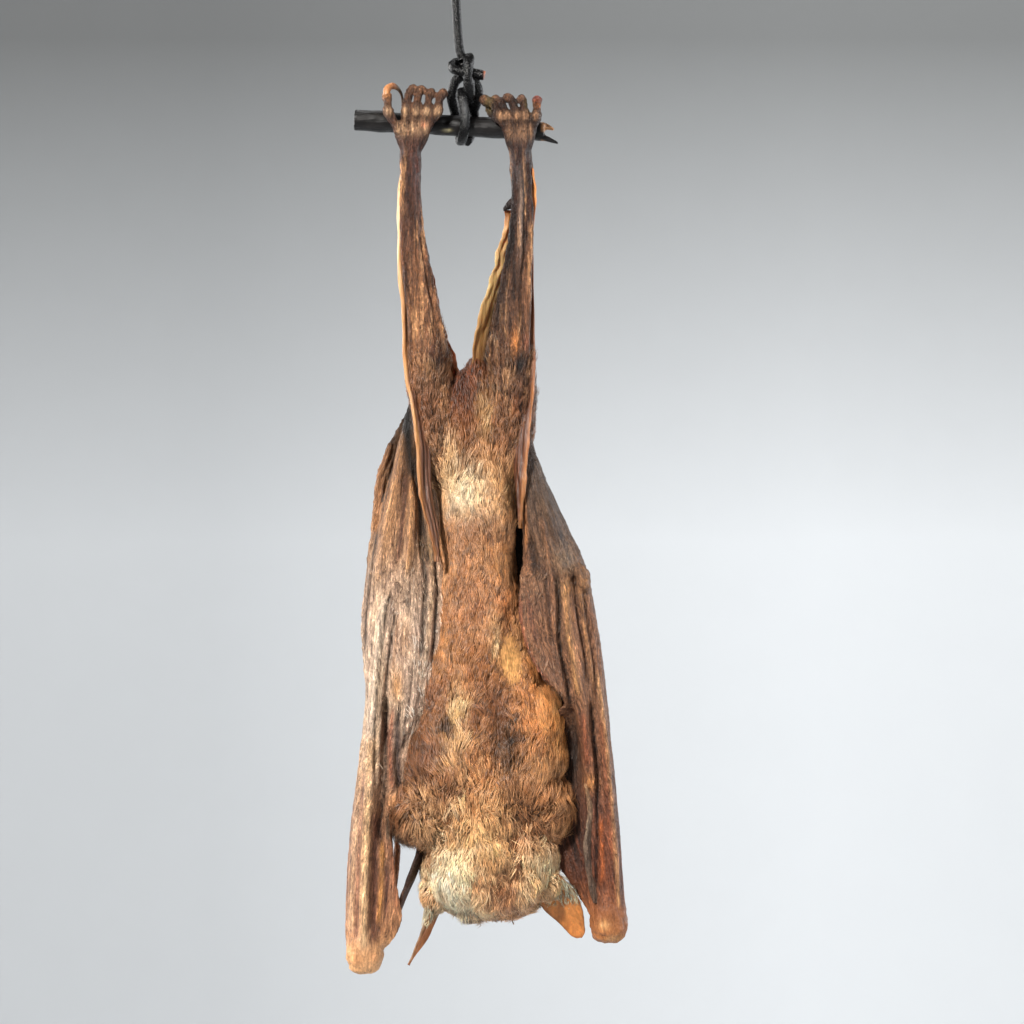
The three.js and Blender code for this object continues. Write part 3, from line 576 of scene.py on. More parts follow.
def dry_edge(name):
    """A thin, pale, dried edge of membrane, brittle and a little clear."""
    f = Finish(name, IOR=1.45, Specular_IOR_Level=0.5, Subsurface_Weight=0.25,
               Subsurface_Radius=(0.004, 0.002, 0.001), Subsurface_Scale=0.5)
    fibres = f.noise(f.stored("lie"), 1.4, 4.0, 0.6)
    colour = f.stained(fibres, 0.35, 0.68, (0.70, 0.60, 0.50), (1.12, 1.10, 1.06))
    rough = f.ranged(fibres, 0.3, 0.7, 0.5, 0.36)
    return f.feed(Base_Color=colour, Roughness=rough, Normal=f.bump(fibres, 0.5, 0.7))


def horn(name):
    """Claws: amber horn, darker at the tip, with fine lengthwise lines."""
    f = Finish(name, IOR=1.5, Specular_IOR_Level=0.55, Coat_Weight=0.25, Coat_Roughness=0.25,
               Subsurface_Weight=0.15, Subsurface_Radius=(0.003, 0.0015, 0.0006), Subsurface_Scale=0.4)
    lines = f.noise(f.place((1800, 1800, 300)), 1.0, 3.0)
    colour = f.stained(lines, 0.35, 0.65, (0.62, 0.52, 0.45), (1.15, 1.10, 1.05))
    return f.feed(Base_Color=colour, Normal=f.bump(lines, 0.12, 0.5))


def ear_skin(name):
    """Thin ears: bare and amber inside, furred and grey outside, as stored."""
    f = Finish(name, Roughness=0.5, IOR=1.45, Specular_IOR_Level=0.45, Subsurface_Weight=0.2,
               Subsurface_Radius=(0.003, 0.0014, 0.0006), Subsurface_Scale=0.4)
    veins = f.noise(f.place((700, 700, 260)), 1.0, 4.0, 0.6)
    colour = f.stained(veins, 0.35, 0.68, (0.70, 0.64, 0.58), (1.14, 1.12, 1.06))
    return f.feed(Base_Color=colour, Normal=f.bump(veins, 0.3, 0.6))


def glass_eye(name):
    f = Finish(name, Roughness=0.12, IOR=1.5, Specular_IOR_Level=0.6, Coat_Weight=1.0, Coat_Roughness=0.05)
    streaks = f.noise(f.place((900, 900, 900)), 1.0, 4.0, 0.6)
    return f.feed(Base_Color=f.stained(streaks, 0.3, 0.7, (0.7, 0.62, 0.55), (1.25, 1.15, 1.05)))


def bark(name):
    """Black-brown bark with a satin skin, fine lengthwise cracks and grey rubbed places."""
    f = Finish(name, IOR=1.45, Specular_IOR_Level=0.35)
    grain = f.noise(f.place((110, 900, 900)), 1.0, 5.0, 0.65, 0.6)
    rubbed = f.noise(f.place((260, 340, 340)), 1.0, 4.0, 0.6)
    colour = f.stained(grain, 0.38, 0.62, (0.3, 0.3, 0.3), (1.15, 1.12, 1.1))
    worn = f.ranged(rubbed, 0.62, 0.8, 0.0, 0.3)
    colour = f.mixed(worn, colour, tuple(linear(96, 92, 88)))
    rough = f.ranged(rubbed, 0.3, 0.7, 0.28, 0.5)
    return f.feed(Base_Color=colour, Roughness=rough, Normal=f.bump(grain, 0.35, 0.8))


def cord_leather(name):
    """Black waxed leather with a crumbly surface and grey rubbed high places."""
    f = Finish(name, IOR=1.5, Specular_IOR_Level=0.25)
    crumbs = f.noise(f.place((1500, 1500, 1500)), 1.0, 5.0, 0.7)
    rubs = f.noise(f.place((420, 420, 300)), 1.0, 3.0)
    worn = f.maths("MULTIPLY", f.ranged(crumbs, 0.58, 0.8), f.ranged(rubs, 0.55, 0.75))
    tint = f.stored("tint", "Color")
    colour = f.mixed(worn, tint, tuple(linear(78, 80, 82)))
    rough = f.ranged(crumbs, 0.3, 0.7, 0.16, 0.36)
    return f.feed(Base_Color=colour, Roughness=rough, Normal=f.bump(crumbs, 0.3, 0.8))


def metal(name, colour, dark, rough, brushed):
    """Brushed metal, darkened in patches by handling."""
    f = Finish(name, Metallic=1.0)
    lines = f.noise(f.place(brushed), 1.0, 3.0)
    stains = f.noise(f.place((160, 160, 160)), 1.0, 4.0, 0.6)
    shade = f.mixed(f.ranged(stains, 0.42, 0.68), colour, dark)
    gloss = f.ranged(lines, 0.3, 0.7, rough - 0.07, rough + 0.12)
    return f.feed(Base_Color=shade, Roughness=gloss, Normal=f.bump(lines, 0.05, 0.5))


MADE = {}


def material(name):
    """Makes each material once."""
    makers = {
        "dried_leg_skin": lambda n: leather(n, grain=1.0, streak=1.0, shine=0.4),
        "dried_wing_membrane": lambda n: leather(n, grain=0.9, streak=0.9, shine=0.44),
        "coat": furry,
        "skin_under_coat": under_coat,
        "dry_membrane_edge": dry_edge,
        "claw_horn": horn,
        "ear_skin": ear_skin,
        "eye": glass_eye,
        "twig_bark": bark,
        "black_leather_cord": cord_leather,
        "brass": lambda n: metal(n, linear(190, 150, 90), linear(110, 82, 44), 0.32, (900, 200, 200)),
        "black_iron": lambda n: metal(n, linear(62, 63, 66), linear(34, 32, 31), 0.46, (260, 260, 900)),
    }
    if name not in MADE:
        MADE[name] = makers[name](name)
    return MADE[name]


def grain_along(points, squeeze=0.12):
    """The lie of the skin's fibres, which run up and down."""
    return points * np.array([1.0, 1.0, squeeze])


# ---------------------------------------------------------------- twig and cord


CORD_DIAMETER = 3.2
CORD_PATH = [
    (-0.9, 0, 22.5), (-2.1, 0, 28), (-3.2, 0, 43.4), (-4, 0, 52), (-5.9, 0, 59), (-6.2, 0, 65),
    (-9.4, 0, 71.5), (-12.4, 0, 77.5), (-12.4, 0, 84), (-9.8, 0, 88), (-6, 0, 89.1), (-2.2, 0, 88),
    (0.4, 0, 84), (0.4, 0, 77.5), (-1.4, 0, 71.5), (-2.7, 0, 65), (-2.6, 0, 59), (-1.4, 0, 54.4),
]
KNOT = [
    (1.12, [
        (-0.6, 0.4, 17.2), (-3.6, 1.6, 14.6), (-4.6, 2.6, 9.5), (-3.4, 4.6, 4.2), (-2.3, 5.6, -0.4),
        (-1.8, 4.4, -4.2), (-1.3, 0, -6.1), (-0.6, -4.4, -4.2), (0.2, -5.9, 0), (-0.2, -5.6, 4.8),
        (-1, -4, 9), (-0.8, -1, 11.2), (1.2, 2, 9.4), (3.4, 4.6, 4.2), (2.9, 5.8, 0), (1.9, 4.4, -4.2),
        (0.9, 0, -6.1),
    ]),
    (1.08, [(1.6, 0.6, 17), (4.1, 0.9, 13.6), (4.8, 2, 9.6), (3.0, 4.4, 5)]),
    (1.1, [(1.4, 1.2, 19.6), (-2, 2.6, 21.6), (-4.2, 0.6, 21), (-3.6, -2, 18.9), (-0.4, -2.6, 17.8)]),
    (1.24, [
        (1.4, 2.2, 21.6), (1.3, -0.4, 23.2), (1.2, -2.4, 20.8), (1.3, -2.8, 16), (1.6, -1.8, 11.4),
        (1.7, 0.6, 8),
    ]),
    (1.08, [(0.4, 0.4, 18.4), (3.6, -0.4, 17.7), (6.9, -0.8, 16.8)]),
]
TWIG_LEFT, TWIG_RIGHT, TWIG_RADIUS = np.array([-38.5, 0, 1.4]), np.array([27.5, 0, -2.5]), 3.5
UPRIGHT = (0, 1, 0)


def creased(turn, u):
    """A cord rolled from a flat thong: one crease runs along it, and it is a little uneven."""
    crease = np.exp(-((np.cos(turn - 4.4 - 0.8 * np.sin(u * 9)) - 1) ** 2) / 0.02)
    return 1 - 0.16 * crease - 0.03 * np.sin(u * 61 + turn) * np.sin(u * 23)


class BAT_OT_twig(bpy.types.Operator):
    """Model the broken twig that the bat hangs from"""

    bl_idname = "bat.twig"
    bl_label = "Twig"

    def execute(self, context):
        form = Form()
        shares = [1.06, 0.98, 1.0, 1.03, 0.97, 0.9]
        rows = [
            [*(TWIG_LEFT + (TWIG_RIGHT - TWIG_LEFT) * k / 5), TWIG_RADIUS * s, TWIG_RADIUS * s]
            for k, s in enumerate(shares)
        ]
        limb(form, rows, sides=40, steps=120, cap=0.06, across=UPRIGHT)
        limb(form, [[20, -0.2, -4, 2.6, 1.6], [28, -0.7, -5, 1.8, 1.0], [32.6, -1, -6.9, 0.6, 0.4]],
             sides=16, cap=0.1, across=UPRIGHT)
        limb(form, [[22, 0.4, -0.6, 2.4, 1.9], [28, 0.6, -0.9, 1.9, 1.2], [31.2, 0.6, -1.9, 0.7, 0.4]],
             sides=16, cap=0.1, across=UPRIGHT)
        obj = fused("twig", form, 0.0005, 2)
        raised(obj, twig_relief)
        points = points_of(obj)
        colour = np.repeat(linear(23, 21, 21)[None, :], len(points), axis=0)
        inside = step(points[:, 0], 26.2, 27.4)
        wood = linear(226, 168, 118) * (0.8 + 0.35 * noise(points, (3, 0.8, 0.8), 5, 2))[:, None]
        upper = step(points[:, 2] + 0.12 * (points[:, 0] - 27), -3.4, -2.6)
        lower = step(-points[:, 2] - 0.42 * (points[:, 0] - 27), 5.4, 5.9)
        colour = over(colour, inside * np.maximum(upper, lower), wood)
        colour = over(colour, bell(points, (-6.2, -3.4, -2.5), (1.3, 2.2, 0.5)), linear(226, 214, 168))
        # Painted shade in the knot hole, where the relief sinks into the twig.
        knot_hole_shade = np.minimum(1, 1.6 * bell(points, (-6.8, -3.5, 0.4), (1.0, 2.0, 0.9)))
        store(obj, "tint", over(colour, knot_hole_shade, linear(16, 14, 13)))
        finished(obj, material("twig_bark"), "bark", "perch_twig")
        return {"FINISHED"}


def twig_relief(points, _):
    ridges = 0.22 * noise(points, (9, 1.6, 1.6), 3, 3) + 0.1 * noise(points, (2, 0.9, 0.9), 4, 2)
    bulge = 0.35 * bell(points, (-30, 0, 1), (4, 6, 6)) + 0.3 * bell(points, (10, 0, -1), (3, 6, 6))
    hole = 0.9 * bell(points, (-6.8, -3.5, 0.4), (0.9, 2.0, 0.8))
    chip = 0.5 * bell(points, (-6.2, -3.4, -2.4), (1.4, 2.0, 0.9))
    cut = 0.5 * bell(points, (-39.6, 0, 1.4), (1.2, 2.4, 2.4))
    return ridges + bulge - hole - chip - cut


class BAT_OT_cord(bpy.types.Operator):
    """Model the leather cord, its knot round the twig and the sleeve that closes its loop"""

    bl_idname = "bat.cord"
    bl_label = "Cord"

    def execute(self, context):
        form = Form()
        rod(form, CORD_PATH, CORD_DIAMETER / 2, sides=28, steps=420, profile=creased)
        cord = built("cord", form)
        raised(cord, lambda p, n: 0.09 * noise(p, 1.1, 11, 2))
        store(cord, "tint", np.repeat(linear(11, 11, 12)[None, :], len(cord.data.vertices), axis=0))
        knot_form = Form()
        for share, route in KNOT:
            rod(knot_form, route, CORD_DIAMETER / 2 * share, sides=20, steps=30 * len(route), profile=creased)
        knot = fused("cord_knot_strands", knot_form, 0.00036, 1)
        raised(knot, lambda p, n: 0.12 * noise(p, 1.2, 12, 3))
        points = points_of(knot)
        tone = np.repeat(linear(9, 9, 10)[None, :], len(points), axis=0)
        tone = over(tone, step(points[:, 0], 6.3, 7.2), linear(205, 120, 84))
        loop = bell(points, (0.6, -7.2, 5.5), (1.0, 1.4, 4.5)) * 0.3
        store(knot, "tint", over(tone, loop, linear(120, 122, 124)))
        finished(cord, material("black_leather_cord"), "cord", "cord")
        finished(knot, material("black_leather_cord"), "cord", "cord_knot")
        sleeve = crimp_sleeve()
        finished(sleeve, material("brass"), "sleeve", "cord_sleeve")
        return {"FINISHED"}


def crimp_sleeve():
    """A short flat brass tube, pressed shut round the two strands."""
    low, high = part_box("cord_sleeve")
    middle, size = (low + high) / 2, high - low
    bpy.ops.object.select_all(action="DESELECT")
    bpy.ops.mesh.primitive_cylinder_add(
        vertices=48, radius=0.5, depth=1, end_fill_type="NOTHING", location=middle
    )
    sleeve = bpy.context.active_object
    sleeve.name = sleeve.data.name = "cord_crimp_sleeve"
    wall = 0.9 * MM
    bpy.ops.object.mode_set(mode="EDIT")
    bpy.ops.mesh.select_all(action="SELECT")
    bpy.ops.transform.resize(value=(size.x, size.y, size.z))
    bpy.ops.mesh.subdivide(number_cuts=3)
    bpy.ops.object.mode_set(mode="OBJECT")
    for vertex in sleeve.data.vertices:
        side = abs(vertex.co.x) / (size.x / 2)
        vertex.co.y *= 1.0 if side < 0.99 else 0.98
        squeeze = math.cos(vertex.co.z / size.z * math.pi) ** 2
        vertex.co.y *= 1 - 0.12 * squeeze
    solid = sleeve.modifiers.new("Wall", "SOLIDIFY")
    solid.thickness = wall
    solid.offset = -1
    bevel = sleeve.modifiers.new("Rims", "BEVEL")
    bevel.width = 0.2 * MM
    bevel.segments = 2
    bevel.limit_method = "ANGLE"
    for name in (solid.name, bevel.name):
        bpy.ops.object.modifier_apply(modifier=name)
    bpy.ops.object.shade_smooth_by_angle(angle=math.radians(40))
    bpy.ops.object.transform_apply(location=True, rotation=True, scale=True)
    return sleeve


# ---------------------------------------------------------------- legs and feet

# For each foot: the ankle, the palm's middle, and each toe's x at its root, its knuckle and its top, and
# the height of its top.
FEET = {
    "left": {
        "ankle": (-18.9, -6.2, -11),
        "palm": (-18.4, -7.2, -3.5),
        "toes": [
            (-23.0, -26.6, -27.2, 10.2), (-20.9, -20.6, -18.1, 12.9), (-18.2, -16.8, -15.2, 12.6),
            (-15.9, -13.1, -11.7, 11.4), (-13.6, -9.4, -7.7, 11.2),
        ],
    },
    "right": {
        "ankle": (19.2, -6.2, -12),
        "palm": (19, -7.2, -5),
        "toes": [
            (15.4, 12.2, 7.0, 9), (17.2, 14.8, 10.9, 9.2), (19.3, 18.2, 15, 9.9), (21, 21.2, 19.8, 9.3),
            (23, 25.0, 25.3, 8.8),
        ],
    },
}

SHINS = {
    "left": [
        [-18.9, -6.2, -9, 3.7, 2.9], [-18.9, -6.2, -14, 3.7, 3.2], [-18.7, -6.4, -26, 3.4, 3.6],
        [-18.0, -6.4, -40, 4.2, 4.2], [-16.6, -6.2, -52, 4.9, 4.8], [-14.2, -6, -69, 6.2, 5.7],
        [-13.4, -6, -82, 7.4, 6.6],
    ],
    "right": [
        [19.4, -6.2, -10, 3.9, 2.9], [19.8, -6.2, -15, 3.9, 3.3], [20.2, -6.4, -27, 3.9, 3.7],
        [19.6, -6.4, -42, 4.0, 4.2], [18.1, -6.2, -55, 5.3, 4.8], [16.6, -6, -70, 6.8, 5.7],
        [16.2, -6, -83, 8.2, 6.6],
    ],
}

THIGHS = {
    "left": [
        [-13.4, -6, -78, 7.2, 6.6], [-12.4, -4.6, -90, 7.2, 8.2], [-10.8, -3.4, -100, 7.4, 9.2],
        [-8.4, -2.2, -112, 8.4, 10], [-4.6, -1, -124, 6, 8.5],
    ],
    "right": [
        [16.2, -6, -78, 7.9, 6.6], [16.6, -4.6, -90, 7.6, 8.2], [16.0, -3.4, -100, 8.0, 9.2],
        [14.2, -2.2, -112, 8.4, 10], [11.4, -1, -124, 6, 8.5],
    ],
}

# Cords under the skin of each leg, each with its half width: x, y and z along it.
TENDONS = {
    "left": [
        (1.0, [
            (-21.6, -8.6, -12), (-21.7, -9.6, -30), (-21.0, -10.2, -50), (-19.2, -10.6, -66),
            (-18.6, -11, -84),
        ]),
        (1.1, [
            (-18.4, -9.2, -8), (-17.4, -10.2, -30), (-15.4, -10.7, -50), (-12.4, -11.5, -66),
            (-11.4, -12, -80),
        ]),
        (0.8, [
            (-16.4, -8.6, -10), (-15.9, -9.0, -28), (-13.2, -9.4, -46), (-9.6, -9.6, -64), (-6.8, -9.4, -76),
        ]),
    ],
    "right": [
        (1.1, [
            (20.6, -9.2, -10), (19.9, -10.2, -26), (19.2, -10.8, -42), (18.2, -11.0, -58), (18.6, -11.6, -76),
        ]),
        (0.9, [(22.6, -8.6, -14), (23.2, -9.4, -34), (22.8, -10, -54), (22.2, -11, -70), (22.4, -11.4, -82)]),
        (0.8, [(17.2, -8.2, -12), (16.9, -8.8, -28), (15.6, -9, -42), (12.6, -9.4, -58), (9.6, -9.6, -74)]),
    ],
}

KNEES = {"left": (-10.6, -9.6, -81), "right": (19.2, -9.8, -82)}


def toe_rows(foot, toe, size=1.0):
    """A bony toe that climbs the front of the twig, stands above it and bends over to the back."""
    root, knuckle, top, height = toe
    base = foot["palm"][2]
    half = 1.62 * size
    middle = (knuckle + top) / 2
    return [
        [root * 0.5 + foot["ankle"][0] * 0.5, -6.6, base - 6.5, half * 0.7, half * 0.7],
        [root * 0.86 + foot["ankle"][0] * 0.14, -7.0, base - 2.6, half * 0.85, half * 0.85],
        [root, -7.5, base + 0.6, half * 1.0, half * 1.02],
        [(root * 0.55 + knuckle * 0.45), -8.0, base + 3.6, half * 0.84, half * 0.86],
        [knuckle, -8.3, base + 7.2, half * 1.16, half * 1.2],
        [middle * 0.5 + knuckle * 0.5, -7.6, height - 4.6, half * 0.82, half * 0.84],
        [middle, -6.4, height - 2.4, half * 0.86, half * 0.9],
        [top, -4.4, height - 1.0, half * 1.06, half * 1.06],
        [top, -2.2, height - 0.9, half * 0.84, half * 0.84],
        [top, -0.8, height - 1.8, half * 0.66, half * 0.66],
    ]


TOE_SIZES = (1.1, 0.96, 0.98, 0.98, 1.06)


def leg_form(side):
    form = Form()
    foot = FEET[side]
    ankle, palm = foot["ankle"], foot["palm"]
    limb(form, [
        [ankle[0], ankle[1], ankle[2] - 5, 3.5, 2.8],
        [ankle[0], -6.6, ankle[2] + 1, 3.6, 2.7],
        [palm[0], -7.0, palm[2] - 1, 4.6, 2.2],
        [palm[0], -7.1, palm[2] + 2.6, 4.8, 1.6],
    ], cap=0.3)
    for order, toe in enumerate(foot["toes"]):
        limb(form, toe_rows(foot, toe, TOE_SIZES[order]), sides=20, steps=60, across=(1, 0.2, 0))
        rod(form, [
            (toe[0], -8.0, palm[2] + 1.4),
            (toe[0] * 0.7 + palm[0] * 0.3, -8.7, palm[2] - 2.2),
            (toe[0] * 0.35 + ankle[0] * 0.65, -8.7, ankle[2] + 1),
            (toe[0] * 0.25 + ankle[0] * 0.75, -8.2, ankle[2] - 6),
        ], 0.8, steps=40)
    limb(form, SHINS[side], cap=0.3, steps=80)
    limb(form, THIGHS[side], steps=60)
    for half, path in TENDONS[side]:
        rod(form, path, half, steps=120, profile=lambda turn, u: 0.55 + 0.45 * np.sin(math.pi * u) + 0 * turn)
    x, y, z = KNEES[side]
    ball(form, (x, y + 1.6, z), (4.0, 3.4, 5.4))
    if side == "right":
        limb(form, [[17.4, -6.6, -27, 1.6, 1.4], [15.4, -6.8, -29, 1.2, 1.2], [13.9, -6.8, -30.4, 0.6, 0.7]],
             across=(0, 1, 0))
        limb(form, [[8.2, -1.6, 7.6, 0.5, 1.6], [9.4, -4.4, 3.6, 0.5, 1.9], [12.2, -6.4, 0, 0.5, 1.0]],
             across=(0, 1, 0))
    return form


def leg_wrinkles(points, _):
    """Fine wrinkles that run down the leg, deeper round the ankle and over the toes' joints."""
    amount = bpy.context.scene.bat_skin.wrinkle
    z = points[:, 2]
    lengthwise = creases(points, (1.9, 1.9, 16), 21, 2) - 0.7
    skewed = points + np.stack([z * 0.35, 0 * z, 0 * z], axis=-1)
    crossing = creases(skewed, (2.2, 2.2, 5), 22, 2) - 0.7
    grain = noise(points, 0.9, 23, 2)
    shin = step(-z, 8, 16) * (1 - step(-z, 92, 112))
    toes = step(z, -8, -3)
    rings = np.sin(z * 3.3 + 1.3 * noise(points, 3, 24)) * toes * 0.07
    deep = (0.42 * lengthwise + 0.22 * crossing) * shin
    soft = (0.16 * lengthwise + 0.12 * noise(points, (1.2, 1.2, 3), 25, 2)) * toes
    knees = sum(1.1 * bell(points, (*KNEES[s][:2], KNEES[s][2] + 1), (2.6, 6, 3.6)) for s in SIDES)
    return amount * (1.3 * deep + soft + rings + 0.09 * grain) + knees


def leg_tint(points, side):
    """Red-brown leather with tan on its raised lines, pale toe joints and dark hollows; the tan, stronger on
    the front, is partly painted highlight, and the dark hollows are painted shade.
    """
    _, y, z = points.T
    front = step(-y, 4, 9)
    base = along(z, [
        (14, (102, 74, 55)), (6, (84, 57, 42)), (-4, (76, 49, 36)), (-12, (76, 47, 37)), (-30, (90, 59, 45)),
        (-60, (134, 96, 68)), (-84, (136, 97, 67)), (-125, (136, 99, 70)),
    ])
    if side == "right":
        base = base * np.array([0.56, 0.56, 0.62]) * (1 - 0.06 * step(z, -12, 4))[:, None]
    ridge = noise(points, (1.6, 1.6, 14), 31, 3)
    # Tan on the raised lines, stronger on the front: partly the leather's own colour, partly painted
    # highlight.
    base = over(base, step(ridge, 0.08, 0.5) * (0.42 + 0.34 * front) * step(-z, 6, 18), linear(204, 160, 118))
    # Painted shade in the hollows between the raised lines.
    hollow_shade = (step(-ridge, 0.1, 0.5) * 0.7)[:, None]
    base = base * (1 - hollow_shade * np.array([0.72, 0.76, 0.78]))
    knuckles = []
    for root, knuckle, top, height in FEET[side]["toes"]:
        pale = (216, 182, 146) if side == "left" else (194, 155, 120)
        low = FEET[side]["palm"][2]
        knuckles += [
            ((knuckle, -9.8, low + 7.2), (1.2, 1.8, 1.5), pale, 0.85),
            ((root, -9.2, low + 1.4), (0.9, 1.8, 2.6), pale, 0.6),
            ((top, -5.6, height - 0.6), (1.3, 1.8, 1.5), (196, 150, 116), 0.45),
            # Painted shade in the gap beside this toe.
            (((root + knuckle) / 2 + 1.3, -7.6, low + 3.6), (0.7, 1.8, 3.4), (48, 28, 22), 0.85),
        ]
    if side == "left":
        spots = [
            ((-9.4, -13.5, -83.5), (2.8, 6, 4.8), (22, 16, 15), 0.97),
            ((-11.2, -13.5, -79.5), (3.2, 3, 4.5), (96, 56, 44), 0.5),
            ((-12.6, -13.5, -87), (2.6, 3, 2.6), (196, 152, 108), 0.5),
            ((-20.4, -9, -60), (0.9, 3, 22), (62, 40, 32), 0.7),
            ((-22.2, -8, -40), (0.8, 3, 20), (150, 92, 62), 0.6),
            ((-16.6, -9, -18), (1.6, 3, 8), (92, 50, 46), 0.55),
            ((-27, -5, 10.5), (2.2, 5, 2.4), (198, 140, 88), 0.8),
            ((-14.2, -9, -1), (1.1, 2, 1), (224, 160, 128), 0.8),
        ]
    else:
        spots = [
            # Painted highlight on the top of the right knee.
            ((17.6, -12.8, -77), (1.5, 4, 4.2), (216, 146, 84), 0.9),
            ((19.0, -12.8, -85), (3.2, 6, 3.8), (22, 16, 15), 0.97),
            ((21.4, -12, -77), (1.4, 3, 3), (150, 96, 78), 0.6),
            # Painted shadow: this spot and the next make the dark band down the inner side of the right shin.
            ((15.7, -9, -40), (2.5, 4, 17), (24, 18, 17), 0.94),
            ((12.6, -9, -62), (2.2, 4, 15), (44, 31, 26), 0.85),
            ((14.4, -7.5, -29.5), (1.6, 3, 3), (22, 18, 18), 0.95),
            # Painted highlight: a pale glint along the right shin's ridge.
            ((19.6, -11, -33), (0.8, 3, 12), (184, 164, 150), 0.6),
            ((17.2, -11, -56), (0.5, 3, 9), (20, 14, 14), 0.8),
            ((21.8, -11.5, -62), (1.4, 3, 14), (176, 130, 96), 0.5),
            ((25.3, -4, 8.6), (2.2, 4, 1.8), (178, 76, 66), 0.75),
            ((25.6, -6, 5.4), (1.4, 2.6, 1.6), (206, 130, 66), 0.7),
            ((22.4, -7, 6), (1.2, 2, 3), (160, 150, 98), 0.6),
            ((8.6, -4, 7), (1.4, 3, 2.6), (160, 150, 84), 0.85),
            ((20.6, -9.6, -3.2), (0.6, 1.4, 0.6), (40, 24, 20), 0.9),
        ]
    return spotted(points, base, knuckles + spots)


class BAT_OT_legs(bpy.types.Operator):
    """Model each leg's dried skin, from the toes down to the thigh"""

    bl_idname = "bat.legs"
    bl_label = "Legs and Feet"

    def execute(self, context):
        skin = context.scene.bat_skin
        for side in SIDES:
            leg = fused(f"leg_skin_{side}", leg_form(side), skin.voxel_leg, 3)
            raised(leg, leg_wrinkles)
            eased(leg, 1)
            points = points_of(leg)
            store(leg, "tint", leg_tint(points, side))
            store(leg, "lie", grain_along(points), "FLOAT_VECTOR")
            nodes = [f"foot_{side}", f"shin_{side}", f"thigh_{side}"]
            finished(leg, material("dried_leg_skin"), "leg_skin", *nodes)
        return {"FINISHED"}


CLAW_DROP = 9.5


def claw_rows(side, order):
    """A claw from the toe's tip over the twig and down behind it. The outermost left one shows as a hook."""
    toe = FEET[side]["toes"][order]
    top, height = toe[2], toe[3]
    if side == "left" and order == 0:
        return [
            [-27.3, -5.6, 9.6, 1.2, 1.1], [-27.0, -4.6, 11.8, 1.3, 1.3], [-25.2, -3.2, 13.0, 0.95, 1.2],
            [-23.2, -1.4, 12.0, 0.6, 0.9], [-22.0, 1.0, 9.6, 0.45, 0.6], [-22.0, 3.0, 6.0, 0.3, 0.35],
            [-22.4, 3.6, 3.6, 0.12, 0.14],
        ]
    lean = (toe[1] - top) / CLAW_DROP
    return [
        [top, -1.6, height - 1.4, 0.72, 1.0],
        [top, 0.9, height - 0.5, 0.8, 1.2],
        [top + lean * 1.4, 3.6, height - 1.4, 0.7, 1.0],
        [top + lean * 4.2, 5.3, height - 4.2, 0.52, 0.7],
        [top + lean * 6.8, 5.5, height - 6.8, 0.34, 0.42],
        [top + lean * CLAW_DROP, 4.6, height - CLAW_DROP, 0.12, 0.14],
    ]


class BAT_OT_claws(bpy.types.Operator):
    """Model the ten toe claws and the two thumb claws"""

    bl_idname = "bat.claws"
    bl_label = "Claws"

    def execute(self, context):
        for side in SIDES:
            for order in range(5):
                form = Form()
                limb(form, claw_rows(side, order), sides=20, steps=50, cap=0.3)
                digit = 5 - order if side == "left" else order + 1
                claw = built(f"toe_hook_{side}_{digit}", form)
                points = points_of(claw)
                height = FEET[side]["toes"][order][3]
                colour = along(points[:, 2], [
                    (height + 1, (120, 78, 46)), (height - 3, (64, 42, 30)), (height - 9, (34, 24, 19)),
                ])
                if side == "left" and order == 0:
                    colour = along(points[:, 0], [
                        (-27.5, (196, 138, 88)), (-25.0, (176, 118, 76)), (-23.4, (104, 84, 66)),
                        (-21, (66, 50, 38)),
                    ])
                store(claw, "tint", colour)
                finished(claw, material("claw_horn"), "claw", f"toe_claw_{side}_{digit}")
            form = Form()
            limb(form, thumb_claw_rows(side), sides=20, steps=40, cap=0.4, across=(1, 0, 0))
            claw = built(f"thumb_hook_{side}", form)
            points = points_of(claw)
            tip = points[:, 2].max()
            store(claw, "tint", along(points[:, 2], [(tip, (46, 30, 22)), (tip - 7, (160, 104, 60))]))
            finished(claw, material("claw_horn"), "claw", f"thumb_claw_{side}")
        return {"FINISHED"}


THUMBS = {
    "left": [
        [-31, 5, -284, 2.6, 2.6], [-27.6, 12, -277, 1.7, 1.7], [-25.4, 15.5, -267, 1.5, 1.5],
        [-24.2, 16.8, -256, 1.35, 1.35], [-24.1, 16.8, -253.4, 1.0, 1.1],
    ],
    "right": [
        [46.6, 5, -274, 2.6, 2.6], [43.2, 12, -267, 1.7, 1.7], [41.2, 15.5, -257, 1.5, 1.5],
        [40, 16.8, -246, 1.35, 1.35], [39.9, 16.8, -243.4, 1.0, 1.1],
    ],
}


def thumb_claw_rows(side):
    x, y, z = THUMBS[side][3][:3]
    inwards = 1 if side == "left" else -1
    return [
        [x, y, z + 1.4, 0.85, 1.2],
        [x, y - 0.1, z + 4.0, 0.85, 1.2],
        [x + inwards * 0.4, y - 1.2, z + 6.8, 0.7, 0.95],
        [x + inwards * 1.0, y - 3.0, z + 8.8, 0.42, 0.55],
        [x + inwards * 1.6, y - 5.2, z + 9.4, 0.12, 0.16],
    ]


